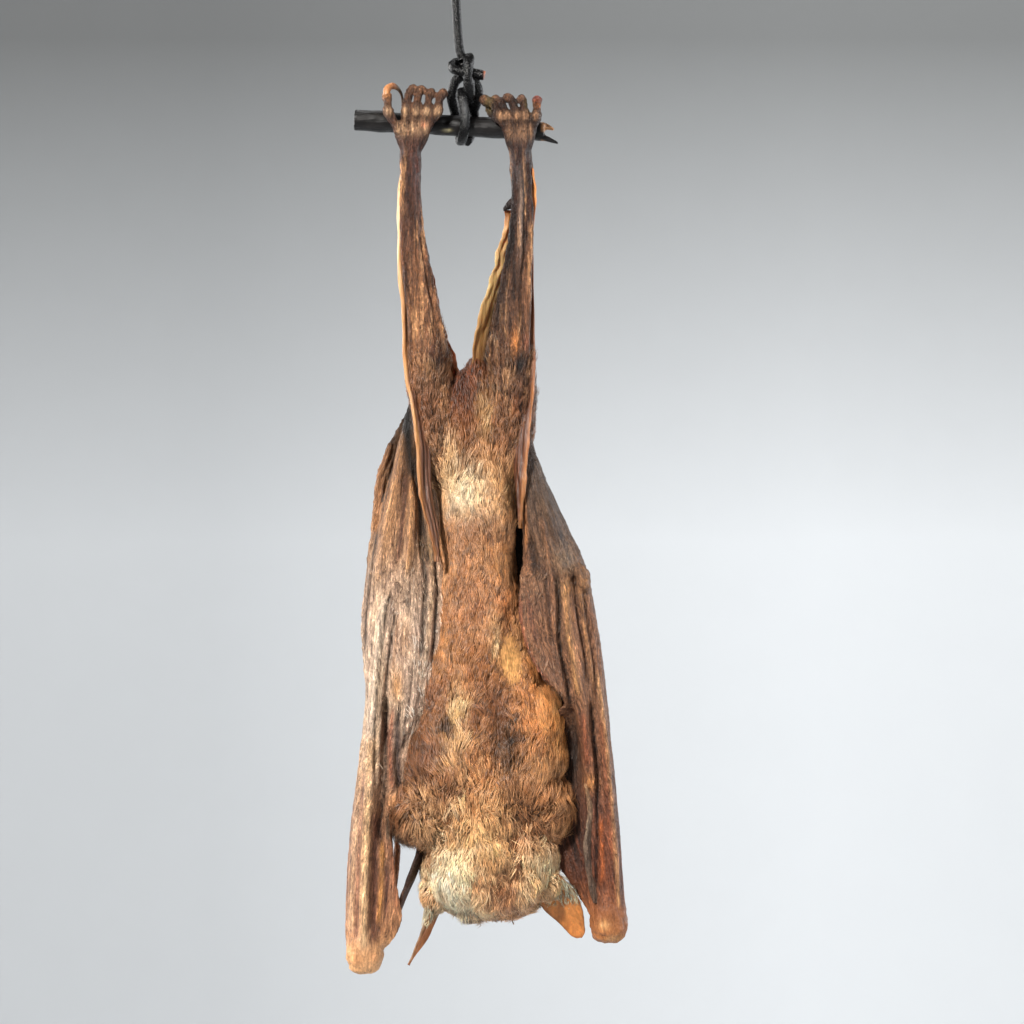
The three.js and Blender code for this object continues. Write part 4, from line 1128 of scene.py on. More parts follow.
# Pale dried edges of the membranes, each row its z, the outer edge's x and y and the inner edge's x and y.
LEG_FOLDS = {
    "left": [
        [-14, -22.4, -7.0, -20, -6.5], [-22, -23.2, -7.6, -19.5, -6], [-35, -23.6, -7.8, -19.2, -5],
        [-48, -23.2, -7.8, -18.6, -4.5], [-62, -21.9, -8.2, -17, -4], [-76, -21.6, -9, -16, -5],
        [-90, -20.6, -10.4, -15.6, -7], [-100, -18.4, -12.2, -14.4, -9], [-112, -16.6, -14.2, -12.4, -11],
        [-126, -16.0, -15.4, -11.6, -12.6], [-134, -14.9, -16.4, -10.4, -13.6],
        [-142, -12.8, -17.0, -8.9, -14.6], [-148, -10.9, -17.2, -8.8, -15.4],
        [-153, -9.6, -17.0, -9.1, -16.0],
    ],
    "right": [
        [-16, 23.4, -7.0, 21, -6.5], [-23, 25.2, -7.6, 20.4, -5.5], [-30, 24.9, -7.8, 20.4, -5],
        [-42, 24.0, -7.8, 20, -4.5], [-65, 23.9, -8.4, 20, -4], [-85, 24.6, -10, 20, -6],
        [-100, 23.9, -12.2, 18.6, -8], [-110, 22.8, -13.6, 16.6, -10], [-119, 21.7, -14.4, 16.8, -11],
        [-126, 20.8, -14.8, 17.8, -12], [-133, 20.4, -14.9, 18.4, -12.8], [-138, 20.0, -14.6, 18.9, -13.4],
        [-141.5, 19.8, -14.2, 19.4, -13.8],
    ],
}

TAIL_FOLDS = {
    "left": [
        [-36, -15.6, -5, -18, -2], [-50, -11.9, -5, -16.6, -1], [-62, -9.0, -4.6, -14, 0],
        [-74, -6.4, -4, -12, 1], [-84, -2.6, -3, -8, 2], [-92, -0.4, -1.4, -5, 2],
    ],
    "right": [
        [-30.5, 14.4, -6.0, 18, -3.6], [-37, 13.6, -6.2, 18, -3], [-44, 11.2, -6.4, 16.6, -2.4],
        [-50, 10.6, -6.4, 15.6, -2], [-56, 8.3, -6.2, 14, -1.6], [-65, 5.5, -6, 12, -1],
        [-75, 3.4, -5.4, 10, 0], [-86, 2.0, -4.4, 8, 1], [-95, 1.4, -3, 7, 2],
    ],
}


def edge_pleats(v, u):
    return 0.35 * np.sin(v * 9 + u * 23) * np.sin(u * 11) + 0.2 * np.sin(v * 21 + u * 5)


class BAT_OT_edge_folds(bpy.types.Operator):
    """Model the pale dried edges of membrane along the legs and between them"""

    bl_idname = "bat.edge_folds"
    bl_label = "Membrane Edges"

    def execute(self, context):
        for name, table, node, thick in (
            ("leg_edge", LEG_FOLDS, "leg_membrane", 1.1),
            ("tail_edge", TAIL_FOLDS, "tail_membrane", 0.7),
        ):
            for side in SIDES:
                form, start = Form(), {"left": 3, "right": 8}[side]

                def edge(u, start=start):
                    return 0.35 * np.sin(u * 17 + start) + 0.2 * np.sin(u * 41 + start) + 0.12 * np.sin(u * 97)

                sheet(form, table[side], across=14, rings=150, thick=thick, pleats=edge_pleats, edge=edge)
                fold = built(f"{name}_{side}", form)
                points = points_of(fold)
                store(fold, "tint", edge_tint(points, side, name))
                store(fold, "lie", grain_along(points, 0.08), "FLOAT_VECTOR")
                finished(fold, material("dry_membrane_edge"), "membrane", f"{node}_{side}")
        return {"FINISHED"}


def edge_tint(points, side, name):
    """Gold only along the dry outer edge, and leg-brown further in."""
    z = points[:, 2]
    rows = np.array((TAIL_FOLDS if name == "tail_edge" else LEG_FOLDS)[side][::-1])
    inwards = np.abs(points[:, 0] - np.interp(z, rows[:, 0], rows[:, 1]))
    if name == "tail_edge":
        if side == "left":
            return along(z, [(-36, (120, 70, 48)), (-70, (150, 92, 58)), (-92, (150, 100, 66))])
        edge = along(z, [
            (-30, (140, 92, 54)), (-36, (196, 148, 98)), (-45, (204, 172, 122)), (-58, (190, 164, 112)),
            (-70, (174, 138, 88)), (-95, (140, 100, 68)),
        ])
        return over(edge, step(inwards, 2.6, 5.0), linear(58, 40, 30))
    if side == "left":
        edge = along(z, [
            (-14, (214, 146, 92)), (-22, (240, 196, 146)), (-34, (250, 230, 190)), (-52, (236, 192, 146)),
            (-70, (200, 150, 102)), (-95, (206, 156, 102)), (-125, (178, 126, 78)), (-145, (158, 108, 68)),
            (-160, (140, 98, 68)),
        ])
        deep = along(z, [
            (-14, (120, 74, 54)), (-60, (96, 62, 46)), (-110, (92, 58, 40)), (-160, (100, 66, 45)),
        ])
        share = step(inwards, 0.5, 1.5) * (0.35 + 0.65 * step(-z, 14, 60))
    else:
        edge = along(z, [
            (-16, (212, 138, 82)), (-24, (232, 164, 102)), (-34, (176, 112, 74)), (-60, (128, 84, 62)),
            (-84, (140, 92, 60)), (-100, (168, 112, 68)), (-115, (178, 120, 74)), (-133, (160, 110, 68)),
        ])
        deep = along(z, [
            (-16, (130, 80, 54)), (-60, (76, 50, 40)), (-110, (98, 60, 40)), (-133, (86, 53, 37)),
        ])
        share = step(inwards, 0.5, 1.5)
    bands = 1 + 0.5 * np.sin(inwards * 5.2 + 0.6 * np.sin(z * 0.3)) * step(-z, 92, 108)
    return over(edge, share, deep * bands[:, None])


# ---------------------------------------------------------------- body and head

# The body's outline with its coat on, each row x, y, z, half width and half depth, and the coat's depth.
TRUNK = [
    [4.2, -0.6, -86.6, 4.4, 5.4, 1.4], [2.6, -0.4, -90.8, 9.6, 7.8, 1.6], [2.4, 0, -95.6, 14.0, 10.4, 1.8],
    [3.2, -0.5, -101.6, 16.8, 12.5, 1.8], [3.4, -1, -111, 17.4, 13.5, 2.0], [4.0, -1, -122, 15.8, 13.8, 2.2],
    [4.6, -1, -132, 14.2, 14.4, 2.4], [4.4, 0, -152, 14.2, 16.4, 2.6], [5.4, 1, -173, 17.4, 19.0, 2.8],
    [6.8, 2, -190, 22.2, 21.6, 3.2], [7.2, 2, -205, 26.8, 23.4, 3.8], [6.8, 2, -222, 28.8, 24.8, 4.2],
    [6.8, 2, -235, 28.8, 24.2, 4.6], [6.4, 2, -244, 27.0, 21.6, 5.2],
]

NECK = [
    [8.0, 2, -236, 25, 22, 4.6], [8.4, 2, -246, 23.4, 20.6, 4.8], [9.0, 2, -256, 22.6, 19.6, 4.6],
    [9, 2, -265, 20.2, 16.6, 4.4], [9, 2, -271.6, 15, 12.6, 4.4],
]

# From the back of the skull to the nose. Width is along X, and depth from throat to crown.
HEAD = [
    [8.6, -9, -261.6, 17.6, 12.2, 4.4], [8.8, -2, -262, 20.2, 14.6, 4.2], [9.0, 8, -263.4, 20.2, 15.0, 3.6],
    [9.2, 17, -265.2, 18.0, 14.4, 2.6], [9, 25, -266.4, 13.4, 12.4, 1.6], [9, 32, -267.6, 9.8, 10.0, 1.0],
    [9, 39, -269, 8.0, 8.4, 0.7], [9, 46, -270.2, 6.9, 7.2, 0.5], [9, 49.4, -271, 5.2, 5.2, 0.3],
]

BARE_PATCH = (16.8, -20, -187)
EYE_RADIUS = 4.7
EYES = {"left": (-4.2, 25.4, -270.2), "right": (22.2, 25.4, -270.2)}
GAZE = {"left": (-0.84, 0.5, -0.2), "right": (0.84, 0.5, -0.2)}
EAR_ROOTS = {"left": (-10.2, 1.6, -268.5), "right": (28.4, -2.4, -266)}


# The share of the coat's depth by which it stands off the skin.
STANDING = 0.5


def bare_rows(rows):
    """The same rows with the coat taken off."""
    return [[x, y, z, w - coat * STANDING, d - coat * STANDING] for x, y, z, w, d, coat in rows]


def body_form():
    form = Form()
    limb(form, bare_rows(TRUNK), sides=96, steps=120, cap=0.28, level=True, power=2.2)
    limb(form, bare_rows(NECK), sides=80, steps=30, cap=0.2, level=True, power=2.2)
    limb(form, bare_rows(HEAD), sides=80, steps=90, cap=0.25, power=2.15)
    ball(form, (-11.6, -1.2, -240.4), (12.4, 14.2, 9.2), sides=56)
    ball(form, (23.8, -1.2, -238.2), (13.0, 14.6, 9.8), sides=56)
    for side in SIDES:
        hand = -1 if side == "left" else 1
        rows = [[x, y + 0.6, z, w - 1.0, d - 1.4] for x, y, z, w, d in THIGHS[side]]
        limb(form, rows, sides=48, steps=40)
        x, y, z = EYES[side]
        out = unit(np.array(GAZE[side]))
        ball(form, (9 + hand * 8.4, 15, -262), (6.2, 7.6, 6.6))
        ball(form, (9 + hand * 6.6, 22.4, -275.2), (4.6, 6.4, 2.8))
        ball(form, (9 + hand * 9.0, 26.4, -265.4), (4.0, 5.2, 2.8))
        turn = np.linspace(0, 2 * math.pi, 25)
        flat = unit(np.cross(out, (0, 0, 1)))
        upright = np.cross(flat, out)
        middle = np.array([x, y, z]) + out * 2.5
        lids = [middle + flat * math.cos(t) * 4.7 + upright * math.sin(t) * 3.9 for t in turn]
        rod(form, np.array(lids), 1.15, sides=14, steps=90)
        ball(form, (9 + hand * 2.5, 50.6, -272.6), (2.5, 2.7, 2.3))
        ball(form, EAR_ROOTS[side], (3.2, 4.0, 3.2))
    muzzle = [
        [9, 26, -259.6, 7.4, 4.6], [9, 36, -263.2, 5.8, 3.6], [9, 43, -265.2, 4.9, 2.8],
        [9, 47.8, -266.6, 3.6, 1.8],
    ]
    limb(form, muzzle, sides=40, power=2.2)
    return form


# Swellings and hollows of the body: height in mm, middle, and how far each reaches.
SWELLINGS = [
    (2.2, (-10, -22, -224), (9, 14, 15)), (2.0, (27, -22, -220), (8, 14, 16)),
    (1.4, (2, -22, -190), (9, 14, 12)), (1.6, (7, -18, -250), (5, 9, 10)),
    (2.4, (-3.4, -16, -262), (6, 9, 9)), (2.0, (26, -14, -258), (7, 9, 9)),
    (-3.0, (12, -24, -212), (4, 14, 20)), (-2.2, (-3.8, -23, -212), (3, 10, 4)),
    (-1.2, (-9.5, -18, -176), (3, 10, 14)), (-1.1, (16, -20, -182), (5, 10, 11)),
    (-2.6, (15.6, -17, -256), (2.8, 9, 13)), (-1.8, (2.6, -17, -268), (2.4, 9, 8)),
    (-1.7, (5.4, 52.6, -272.6), (1.2, 1.5, 1.1)), (-1.7, (12.6, 52.6, -272.6), (1.2, 1.5, 1.1)),
    (-1.0, (9, 53, -272.4), (0.7, 3, 3)),
]


def body_relief(points, normals):
    """Shoulder blades, the hollow along the spine, the folds of the neck, nostrils and mouth."""
    x, y, z = points.T
    total = sum(height * bell(points, middle, reach) for height, middle, reach in SWELLINGS)
    back = step(-normals[:, 1], 0.1, 0.7)
    sag = -246 - 6.0 * np.exp(-(((x + 16) / 8) ** 2)) + 3.0 * np.exp(-(((x - 28) / 8) ** 2))
    sag = sag + 14 * np.exp(-(((x - 5) / 11) ** 2)) + 2.5 * noise(points, 8, 44)
    total -= 1.5 * np.exp(-(((z - sag) / 3.6) ** 2)) * back * step(np.abs(x - 5), 4, 15)
    total += 1.5 * noise(points, (9, 9, 13), 41, 2) * step(-z, 100, 130) * (1 - step(y, 14, 22))
    total += 1.0 * noise(points, (5, 5, 9), 45) * step(-z, 232, 250) * (1 - step(y, 10, 18))
    total += 0.12 * noise(points, 1.6, 43, 2) * step(y, 26, 34)
    return total - 1.4 * mouth_line(points, 0.7)


def mouth_line(points, width):
    """The share by which a place lies on the line of the mouth."""
    x, y, z = points.T
    away = (z + 265.9 + 0.06 * (y - 46)) / width
    return np.exp(-away * away) * step(y, 27, 31) * step(np.abs(x - 9), 0.5, 3)


def open_sockets(obj):
    """Sinks the skin where each eye looks out, so that the lids stand round it."""
    points = points_of(obj)
    for side in SIDES:
        eye, out = np.array(EYES[side]), unit(np.array(GAZE[side]))
        away = points - eye
        ahead = away @ out
        flat = away - ahead[:, None] * out
        tall = flat @ np.cross(unit(np.cross(out, (0, 0, 1))), out)
        across = np.sqrt(np.maximum(np.sum(flat * flat, axis=1) - tall**2, 0))
        opening = np.sqrt((across / 3.9) ** 2 + (tall / 2.9) ** 2)
        share = (1 - step(opening, 0.72, 1.08)) * step(ahead, 0.2, 1.6)
        points = points - out * (share * np.maximum(ahead - 0.6, 0))[:, None]
    set_points(obj, points)


COAT_STOPS = [
    (-70, (102, 61, 38)), (-84, (103, 61, 37)), (-95, (104, 63, 37)), (-107, (128, 84, 52)),
    (-118, (160, 116, 82)), (-130, (194, 150, 112)), (-140, (174, 132, 98)), (-155, (170, 127, 94)),
    (-172, (174, 128, 92)), (-190, (174, 126, 85)), (-205, (157, 111, 74)), (-222, (149, 105, 70)),
    (-238, (155, 108, 72)), (-256, (168, 122, 88)), (-281, (170, 124, 90)),
]

# The colours above are those of single bright hairs, and a coat of them with its shadows is deeper.
COAT_DEPTH_OF_COLOUR = np.array([0.82, 0.71, 0.61])
HOOD_DEPTH_OF_COLOUR = np.array([1.14, 1.0, 0.88])
STREAKS = 0.5  # how much narrow streaks along the lie of the coat differ in brightness

# Markings of the back: x and z of the middle, half width and half height, colour and strength. Two dark ones
# are painted shade, as marked.
COAT_MARKS = [
    (-1.3, -93.5, 11, 8, (98, 58, 42), 0.7), (7.0, -104, 2.4, 9, (226, 192, 144), 0.8),
    (11.5, -98.5, 1.8, 6, (206, 164, 120), 0.5), (-8.6, -99, 2.4, 8, (190, 146, 106), 0.5),
    (-10.5, -108, 2.0, 8, (112, 76, 56), 0.5), (0.7, -131.5, 7.2, 9.5, (255, 244, 216), 0.97),
    (-5.2, -121, 3.2, 8.5, (246, 216, 172), 0.75), (9.6, -127, 7, 9, (228, 192, 146), 0.6),
    (-10.4, -127, 2.6, 12, (84, 60, 46), 0.7), (13.5, -134, 4, 9, (222, 182, 136), 0.6),
    (2.6, -146, 8, 5, (150, 108, 78), 0.55), (12, -156, 7, 8, (222, 172, 118), 0.5),
    (-6.2, -160, 4, 8, (208, 162, 116), 0.5), (3, -170, 5, 8, (156, 112, 78), 0.45),
    (16.6, -187, 4.0, 10, (240, 194, 146), 0.9), (14.4, -171, 3.0, 4.5, (202, 138, 88), 0.7),
    (10.6, -183, 1.8, 7, (248, 216, 168), 0.75), (-8, -186, 6, 8, (200, 152, 104), 0.5),
    (22, -196, 6, 6, (206, 152, 98), 0.5), (-10, -202, 5, 6, (136, 94, 66), 0.5),
    (-13, -222, 8, 13, (98, 63, 40), 0.74), (-2.4, -209, 2.6, 9, (255, 226, 176), 0.85),
    (-2.8, -222, 3.4, 8, (228, 190, 144), 0.7), (-11, -240.5, 6, 6, (222, 188, 146), 0.65),
    # Painted shade: both dark marks on this line, in the hollow beside the spine and in the groove between the
    # shoulder blades.
    (-5.6, -212.6, 2.2, 4.0, (56, 42, 36), 0.85), (14.8, -219, 5.2, 14, (36, 19, 10), 0.97),
    (10.8, -204, 4.4, 8, (122, 80, 54), 0.6), (10.6, -236, 3, 7, (108, 70, 48), 0.5),
    (-3.5, -237, 3, 6, (110, 72, 50), 0.5), (4.8, -226, 4, 8, (128, 82, 56), 0.5),
    (26, -211, 7, 14, (240, 172, 112), 0.85), (32.5, -217, 4, 11, (250, 186, 114), 0.8),
    (26, -231, 8, 8, (224, 176, 128), 0.7), (33, -243, 5, 5, (214, 168, 122), 0.6),
    (-23.4, -243, 4, 7, (82, 56, 44), 0.75), (-14, -248, 5, 4, (110, 74, 54), 0.5),
]

# The pale hood of the nape and crown, and its own markings, one of which is painted shade.
HOOD = (
    (-281, (200, 156, 114)), (-268, (234, 202, 162)), (-256, (238, 204, 160)), (-244, (214, 174, 130)),
    (-226, (188, 140, 96)),
)
HOOD_MARKS = [
    (-4.4, -259, 6.4, 9, (255, 246, 224), 1.0), (-1.0, -271, 5, 6.6, (255, 246, 222), 0.9),
    (2, -254, 4, 6, (255, 240, 204), 0.8), (8, -248, 7, 8, (238, 202, 150), 0.7),
    (11.8, -262, 4.0, 9, (158, 102, 62), 0.85), (16.4, -252, 4.0, 11, (112, 66, 38), 0.97),
    (28, -253, 5, 7, (255, 238, 200), 0.9), (25, -266, 5, 5, (214, 168, 120), 0.6),
    # Painted shade: the first mark on this line is the shade under the left shoulder's overhang.
    (-14.5, -254, 3, 4, (84, 58, 46), 0.6), (-11, -268.2, 3, 3, (156, 108, 70), 0.6),
    (4.6, -277, 6.0, 3.2, (60, 38, 30), 0.97), (18, -275, 7, 4.4, (148, 98, 60), 0.75),
    (15.4, -268, 2.6, 6, (132, 84, 56), 0.7), (22.5, -268, 3.4, 4.0, (116, 70, 42), 0.8),
    (4.8, -258, 2.6, 9, (172, 118, 74), 0.75), (-9.5, -251, 3, 4, (150, 108, 76), 0.6),
]


def hood_share(points):
    """How far a place lies under the pale hood, whose upper edge is an arch between the shoulders."""
    x, _, z = points.T
    edge = -249 + 27 * np.exp(-(((x - 6) / 10.5) ** 2)) + 5.0 * noise(points, 6, 52, 2)
    return 1 - step(z, edge - 9, edge + 8)


def marked(points, colour, marks, share):
    for middle_x, middle_z, width, height, shade, strength in marks:
        away = ((points[:, 0] - middle_x) / width) ** 2 + ((points[:, 2] - middle_z) / height) ** 2
        colour = over(colour, np.exp(-away) * strength * share, linear(*shade))
    return colour


def coat_tint(points):
    """The coat's markings, some of them painted shade, the same on the skin under it."""
    _, y, z = points.T
    colour = along(z, COAT_STOPS)
    back = 1 - step(y, -4, 8)
    colour = marked(points, colour, COAT_MARKS, back)
    hood = hood_share(points)
    colour = over(colour, hood, marked(points, along(z, HOOD), HOOD_MARKS, back))
    belly = step(y, 0, 12) * step(-z, 96, 120) * (1 - step(-z, 244, 256))
    warm = along(z, [
        (-100, (150, 108, 72)), (-150, (172, 128, 82)), (-200, (178, 128, 76)), (-240, (196, 146, 88)),
    ])
    colour = over(colour, 0.8 * belly, warm)
    colour = over(colour, step(y, 14, 30), linear(126, 90, 62))
    ring = 0.6 * sum(bell(points, EYES[s], (7.5, 7.5, 6.5)) for s in SIDES)
    colour = over(colour, np.minimum(ring, 1), linear(84, 58, 42))
    colour = over(colour, bell(points, (9, 53, -272), (5, 4.6, 5)), linear(46, 34, 30))
    mottle = 1 + 0.3 * noise(points, (2.8, 2.8, 7), 51, 3) + STREAKS * noise(points, (0.85, 1.4, 4.2), 53, 2)
    mottle = np.clip(mottle, 0.25, 2.2)
    colour = colour * (1 - 0.6 * mouth_line(points, 0.8))[:, None]
    depth = COAT_DEPTH_OF_COLOUR + (HOOD_DEPTH_OF_COLOUR - COAT_DEPTH_OF_COLOUR) * (hood * back)[:, None]
    return colour * depth * mottle[:, None] ** np.array([0.8, 1.0, 1.2])


class BAT_OT_body(bpy.types.Operator):
    """Model the skin of the body, neck and head, which lies under the coat"""

    bl_idname = "bat.body"
    bl_label = "Body and Head"

    def execute(self, context):
        body = fused("body_skin", body_form(), context.scene.bat_skin.voxel_body, 7)
        raised(body, body_relief)
        eased(body, 1)
        open_sockets(body)
        points = points_of(body)
        bare = np.minimum(1, 1.5 * bell(points, BARE_PATCH, (4.8, 10, 10)))
        cracks = creases(points, (2.6, 2.6, 2.0), 61, 2)[:, None]
        golden = linear(246, 186, 116) * (0.45 + 0.7 * cracks)
        store(body, "tint", over(coat_tint(points), bare, golden))
        finished(body, material("skin_under_coat"), "fur", "trunk", "neck", "head")
        for side in SIDES:
            form = Form()
            ball(form, EYES[side], (EYE_RADIUS - 0.3,) * 3, sides=48)
            eye = built(f"eyeball_{side}", form)
            eye_points = points_of(eye)
            out = unit(np.array(GAZE[side]))
            ahead = (eye_points - np.array(EYES[side])) @ out / (EYE_RADIUS - 0.3)
            shade = over(linear(58, 38, 26), step(ahead, 0.76, 0.8), linear(112, 62, 26))
            store(eye, "tint", over(shade, step(ahead, 0.93, 0.95), linear(8, 7, 7)))
            finished(eye, material("eye"), "eye", f"eye_{side}")
        return {"FINISHED"}


# Each ear from its root to its tip: x, y, z and its half width in mm.
EARS = {
    "left": {
        "across": (0.3, 1, 0),
        "rows": [
            [-8.6, 1.0, -265.5, 3.6], [-9.8, 1.4, -270.5, 5.0], [-11.6, 2.0, -277, 5.8],
            [-14.0, 3.0, -283.4, 4.4], [-16.4, 4.0, -288.4, 2.6], [-18.3, 4.4, -292.2, 1.2],
            [-19.8, 4.2, -294.8, 0.4],
        ],
    },
    "right": {
        "across": (1, -0.25, 0),
        "rows": [
            [28.6, -4.6, -263.6, 5.0], [30.8, -3.4, -267.0, 6.4], [33.4, -1.6, -271.4, 7.0],
            [36.0, 0.8, -275.8, 6.0], [38.2, 3.4, -280.2, 4.2], [39.6, 5.4, -283.6, 2.7],
            [40.2, 6.4, -285.4, 1.0],
        ],
    },
}


def ear_form(side):
    """A thin, pointed, cupped leaf, thicker along its front edge."""
    rows, across = EARS[side]["rows"], np.asarray(EARS[side]["across"], float)
    steps, columns = 70, 28
    u = np.linspace(0, 1, steps)
    row = between(rows, u)
    tangent = unit(np.gradient(row[:, :3], axis=0))
    front = unit(np.cross(tangent, across))
    wide = unit(np.cross(front, tangent))
    inwards = np.sign(9 - row[:, 0])
    facing = front * np.where(front[:, 0] * inwards >= 0, 1, -1)[:, None]
    v = np.linspace(-1, 1, columns)
    cup = 2.2 * (row[:, 3] / 6)[:, None] * (v * v - 0.6)[None, :]
    curl = 0.25 * np.sin(u * 13)[:, None] * v[None, :] ** 3
    thick = 0.5 * (0.35 + 0.65 * (1 - v**2) ** 0.5)[None, :] * (1.2 - 0.5 * u)[:, None]
    sheets = []
    for half in (1, -1):
        flat = row[:, None, :3] + wide[:, None, :] * (v[None, :] * row[:, 3:4])[..., None]
        sheets.append(flat + facing[:, None, :] * (cup + curl + half * thick)[..., None])
    form = Form()
    form.shell(*sheets)
    inside = np.concatenate([np.ones((steps, columns)), np.zeros((steps, columns))], axis=1).ravel()
    height = np.repeat(u, columns * 2)
    rim = np.concatenate([np.abs(v), np.abs(v[::-1])])
    return form, inside, height, np.tile(rim, steps)


class BAT_OT_ears(bpy.types.Operator):
    """Model the two pointed ears"""

    bl_idname = "bat.ears"
    bl_label = "Ears"

    def execute(self, context):
        for side in SIDES:
            form, inside, height, rim = ear_form(side)
            ear = built(f"ear_blade_{side}", form)
            points = points_of(ear)
            raised(ear, lambda p, n: 0.1 * noise(p, 1.8, 71, 2))
            amber = linear(212, 138, 72) if side == "right" else linear(186, 118, 66)
            grey = linear(132, 124, 100) if side == "right" else linear(150, 112, 76)
            colour = over(grey, inside, amber)
            colour = over(colour, step(rim, 0.8, 1.0) * 0.5, linear(96, 62, 40))
            colour = over(colour, step(height, 0.82, 1.0) * 0.6, linear(104, 60, 36))
            colour = colour * (0.72 + 0.4 * height + 0.3 * noise(points, 2.4, 72, 2))[:, None]
            store(ear, "tint", colour)
            finished(ear, material("ear_skin"), "ear", f"ear_{side}")
        return {"FINISHED"}


# ---------------------------------------------------------------- wings

# Round parts of each folded wing: x, y, z, half width and half depth along each.
ARMS = {
    "left": {
        "hand": [
            [-25.6, 1, -116, 1.0, 3.0], [-28.6, 2.5, -124, 1.6, 6], [-30.2, 4.5, -136, 1.9, 9],
            [-31.6, 6.5, -154, 2.2, 11.5], [-33, 7.5, -171, 2.8, 12.5], [-32.0, 8, -190, 2.6, 12],
            [-31.6, 8, -207, 2.8, 11.4], [-32.6, 7, -225, 3.8, 11], [-34, 6, -243, 4.6, 10.4],
            [-34.8, 5, -262, 5.8, 9.4], [-35, 4, -279, 5.8, 8.4],
        ],
        "forearm": [
            [-24.0, -8.6, -163, 3.4, 3.8], [-27.6, -8.4, -180, 3.2, 4.4], [-30.0, -8.0, -200, 3.0, 4.4],
            [-31.8, -7.8, -222, 3.0, 4.2], [-33.8, -7.6, -244, 3.0, 4.0], [-35.0, -7.2, -264, 3.1, 3.8],
            [-35.6, -6.2, -284, 3.6, 3.8],
        ],
        "upper_arm": [
            [-21.8, -10.4, -161, 3.8, 3.6], [-20.6, -11.2, -174, 4.2, 4.2], [-19.6, -11.4, -190, 4.8, 4.8],
            [-20.2, -10.8, -204, 4.6, 4.8], [-24.0, -9.4, -219, 2.6, 4.0], [-24.8, -8.4, -232, 2.3, 3.6],
        ],
        "wrist": [
            [-35.2, -3.0, -280, 5.4, 7.2], [-35.1, -3.4, -286, 6.3, 8.0], [-34.9, -3.2, -291, 6.6, 7.6],
            [-34.9, -2.8, -293.6, 5.8, 6.4],
        ],
        "elbow": (-22.8, -12.0, -164, 3.4, 3.3, 4.4),
        "bump": (-24.7, -9.6, -236.2, 2.5, 2.7, 3.4),
    },
    "right": {
        "hand": [
            [23.2, 0, -116, 1.0, 3.0], [26.8, 2.5, -126, 1.8, 6], [32.4, 4.5, -139, 2.4, 9],
            [39.0, 6, -155, 2.6, 11.5], [42.0, 7.5, -171, 3.0, 12.5], [44.6, 8, -190, 3.2, 12],
            [46.6, 8, -208, 3.4, 11.4], [47.8, 7, -225, 3.6, 11], [48.8, 6, -243, 4.2, 10.4],
            [49.4, 5, -258, 5.0, 9.4], [50, 4, -270, 5.6, 8.4],
        ],
        "forearm": [
            [40.4, -7.6, -160, 3.3, 3.8], [43.8, -7.8, -178, 3.1, 4.4], [46.8, -7.6, -200, 2.8, 4.4],
            [49.0, -7.5, -222, 2.8, 4.2], [50.9, -7.2, -244, 3.0, 4.0], [51.9, -6.6, -260, 3.2, 3.8],
            [52.4, -5.6, -274, 3.8, 3.8],
        ],
        "upper_arm": [
            [37.0, -10.0, -158, 3.7, 3.6], [36.8, -10.8, -170, 3.2, 4.0], [38.6, -11.0, -186, 3.2, 4.3],
            [40.6, -10.6, -200, 3.2, 4.3], [42.2, -9.4, -214, 2.8, 3.9], [43.4, -8.6, -226, 2.4, 3.5],
        ],
        "wrist": [
            [50.2, -2.4, -268, 5.0, 6.8], [50.3, -3.0, -274, 6.0, 7.6], [50.3, -2.8, -280, 6.6, 7.4],
            [50.3, -2.4, -283, 5.9, 6.2],
        ],
        "elbow": (40.4, -10.6, -159, 3.5, 3.8, 5.0),
        "bump": (43.9, -9.8, -229.6, 2.4, 2.7, 3.2),
    },
}

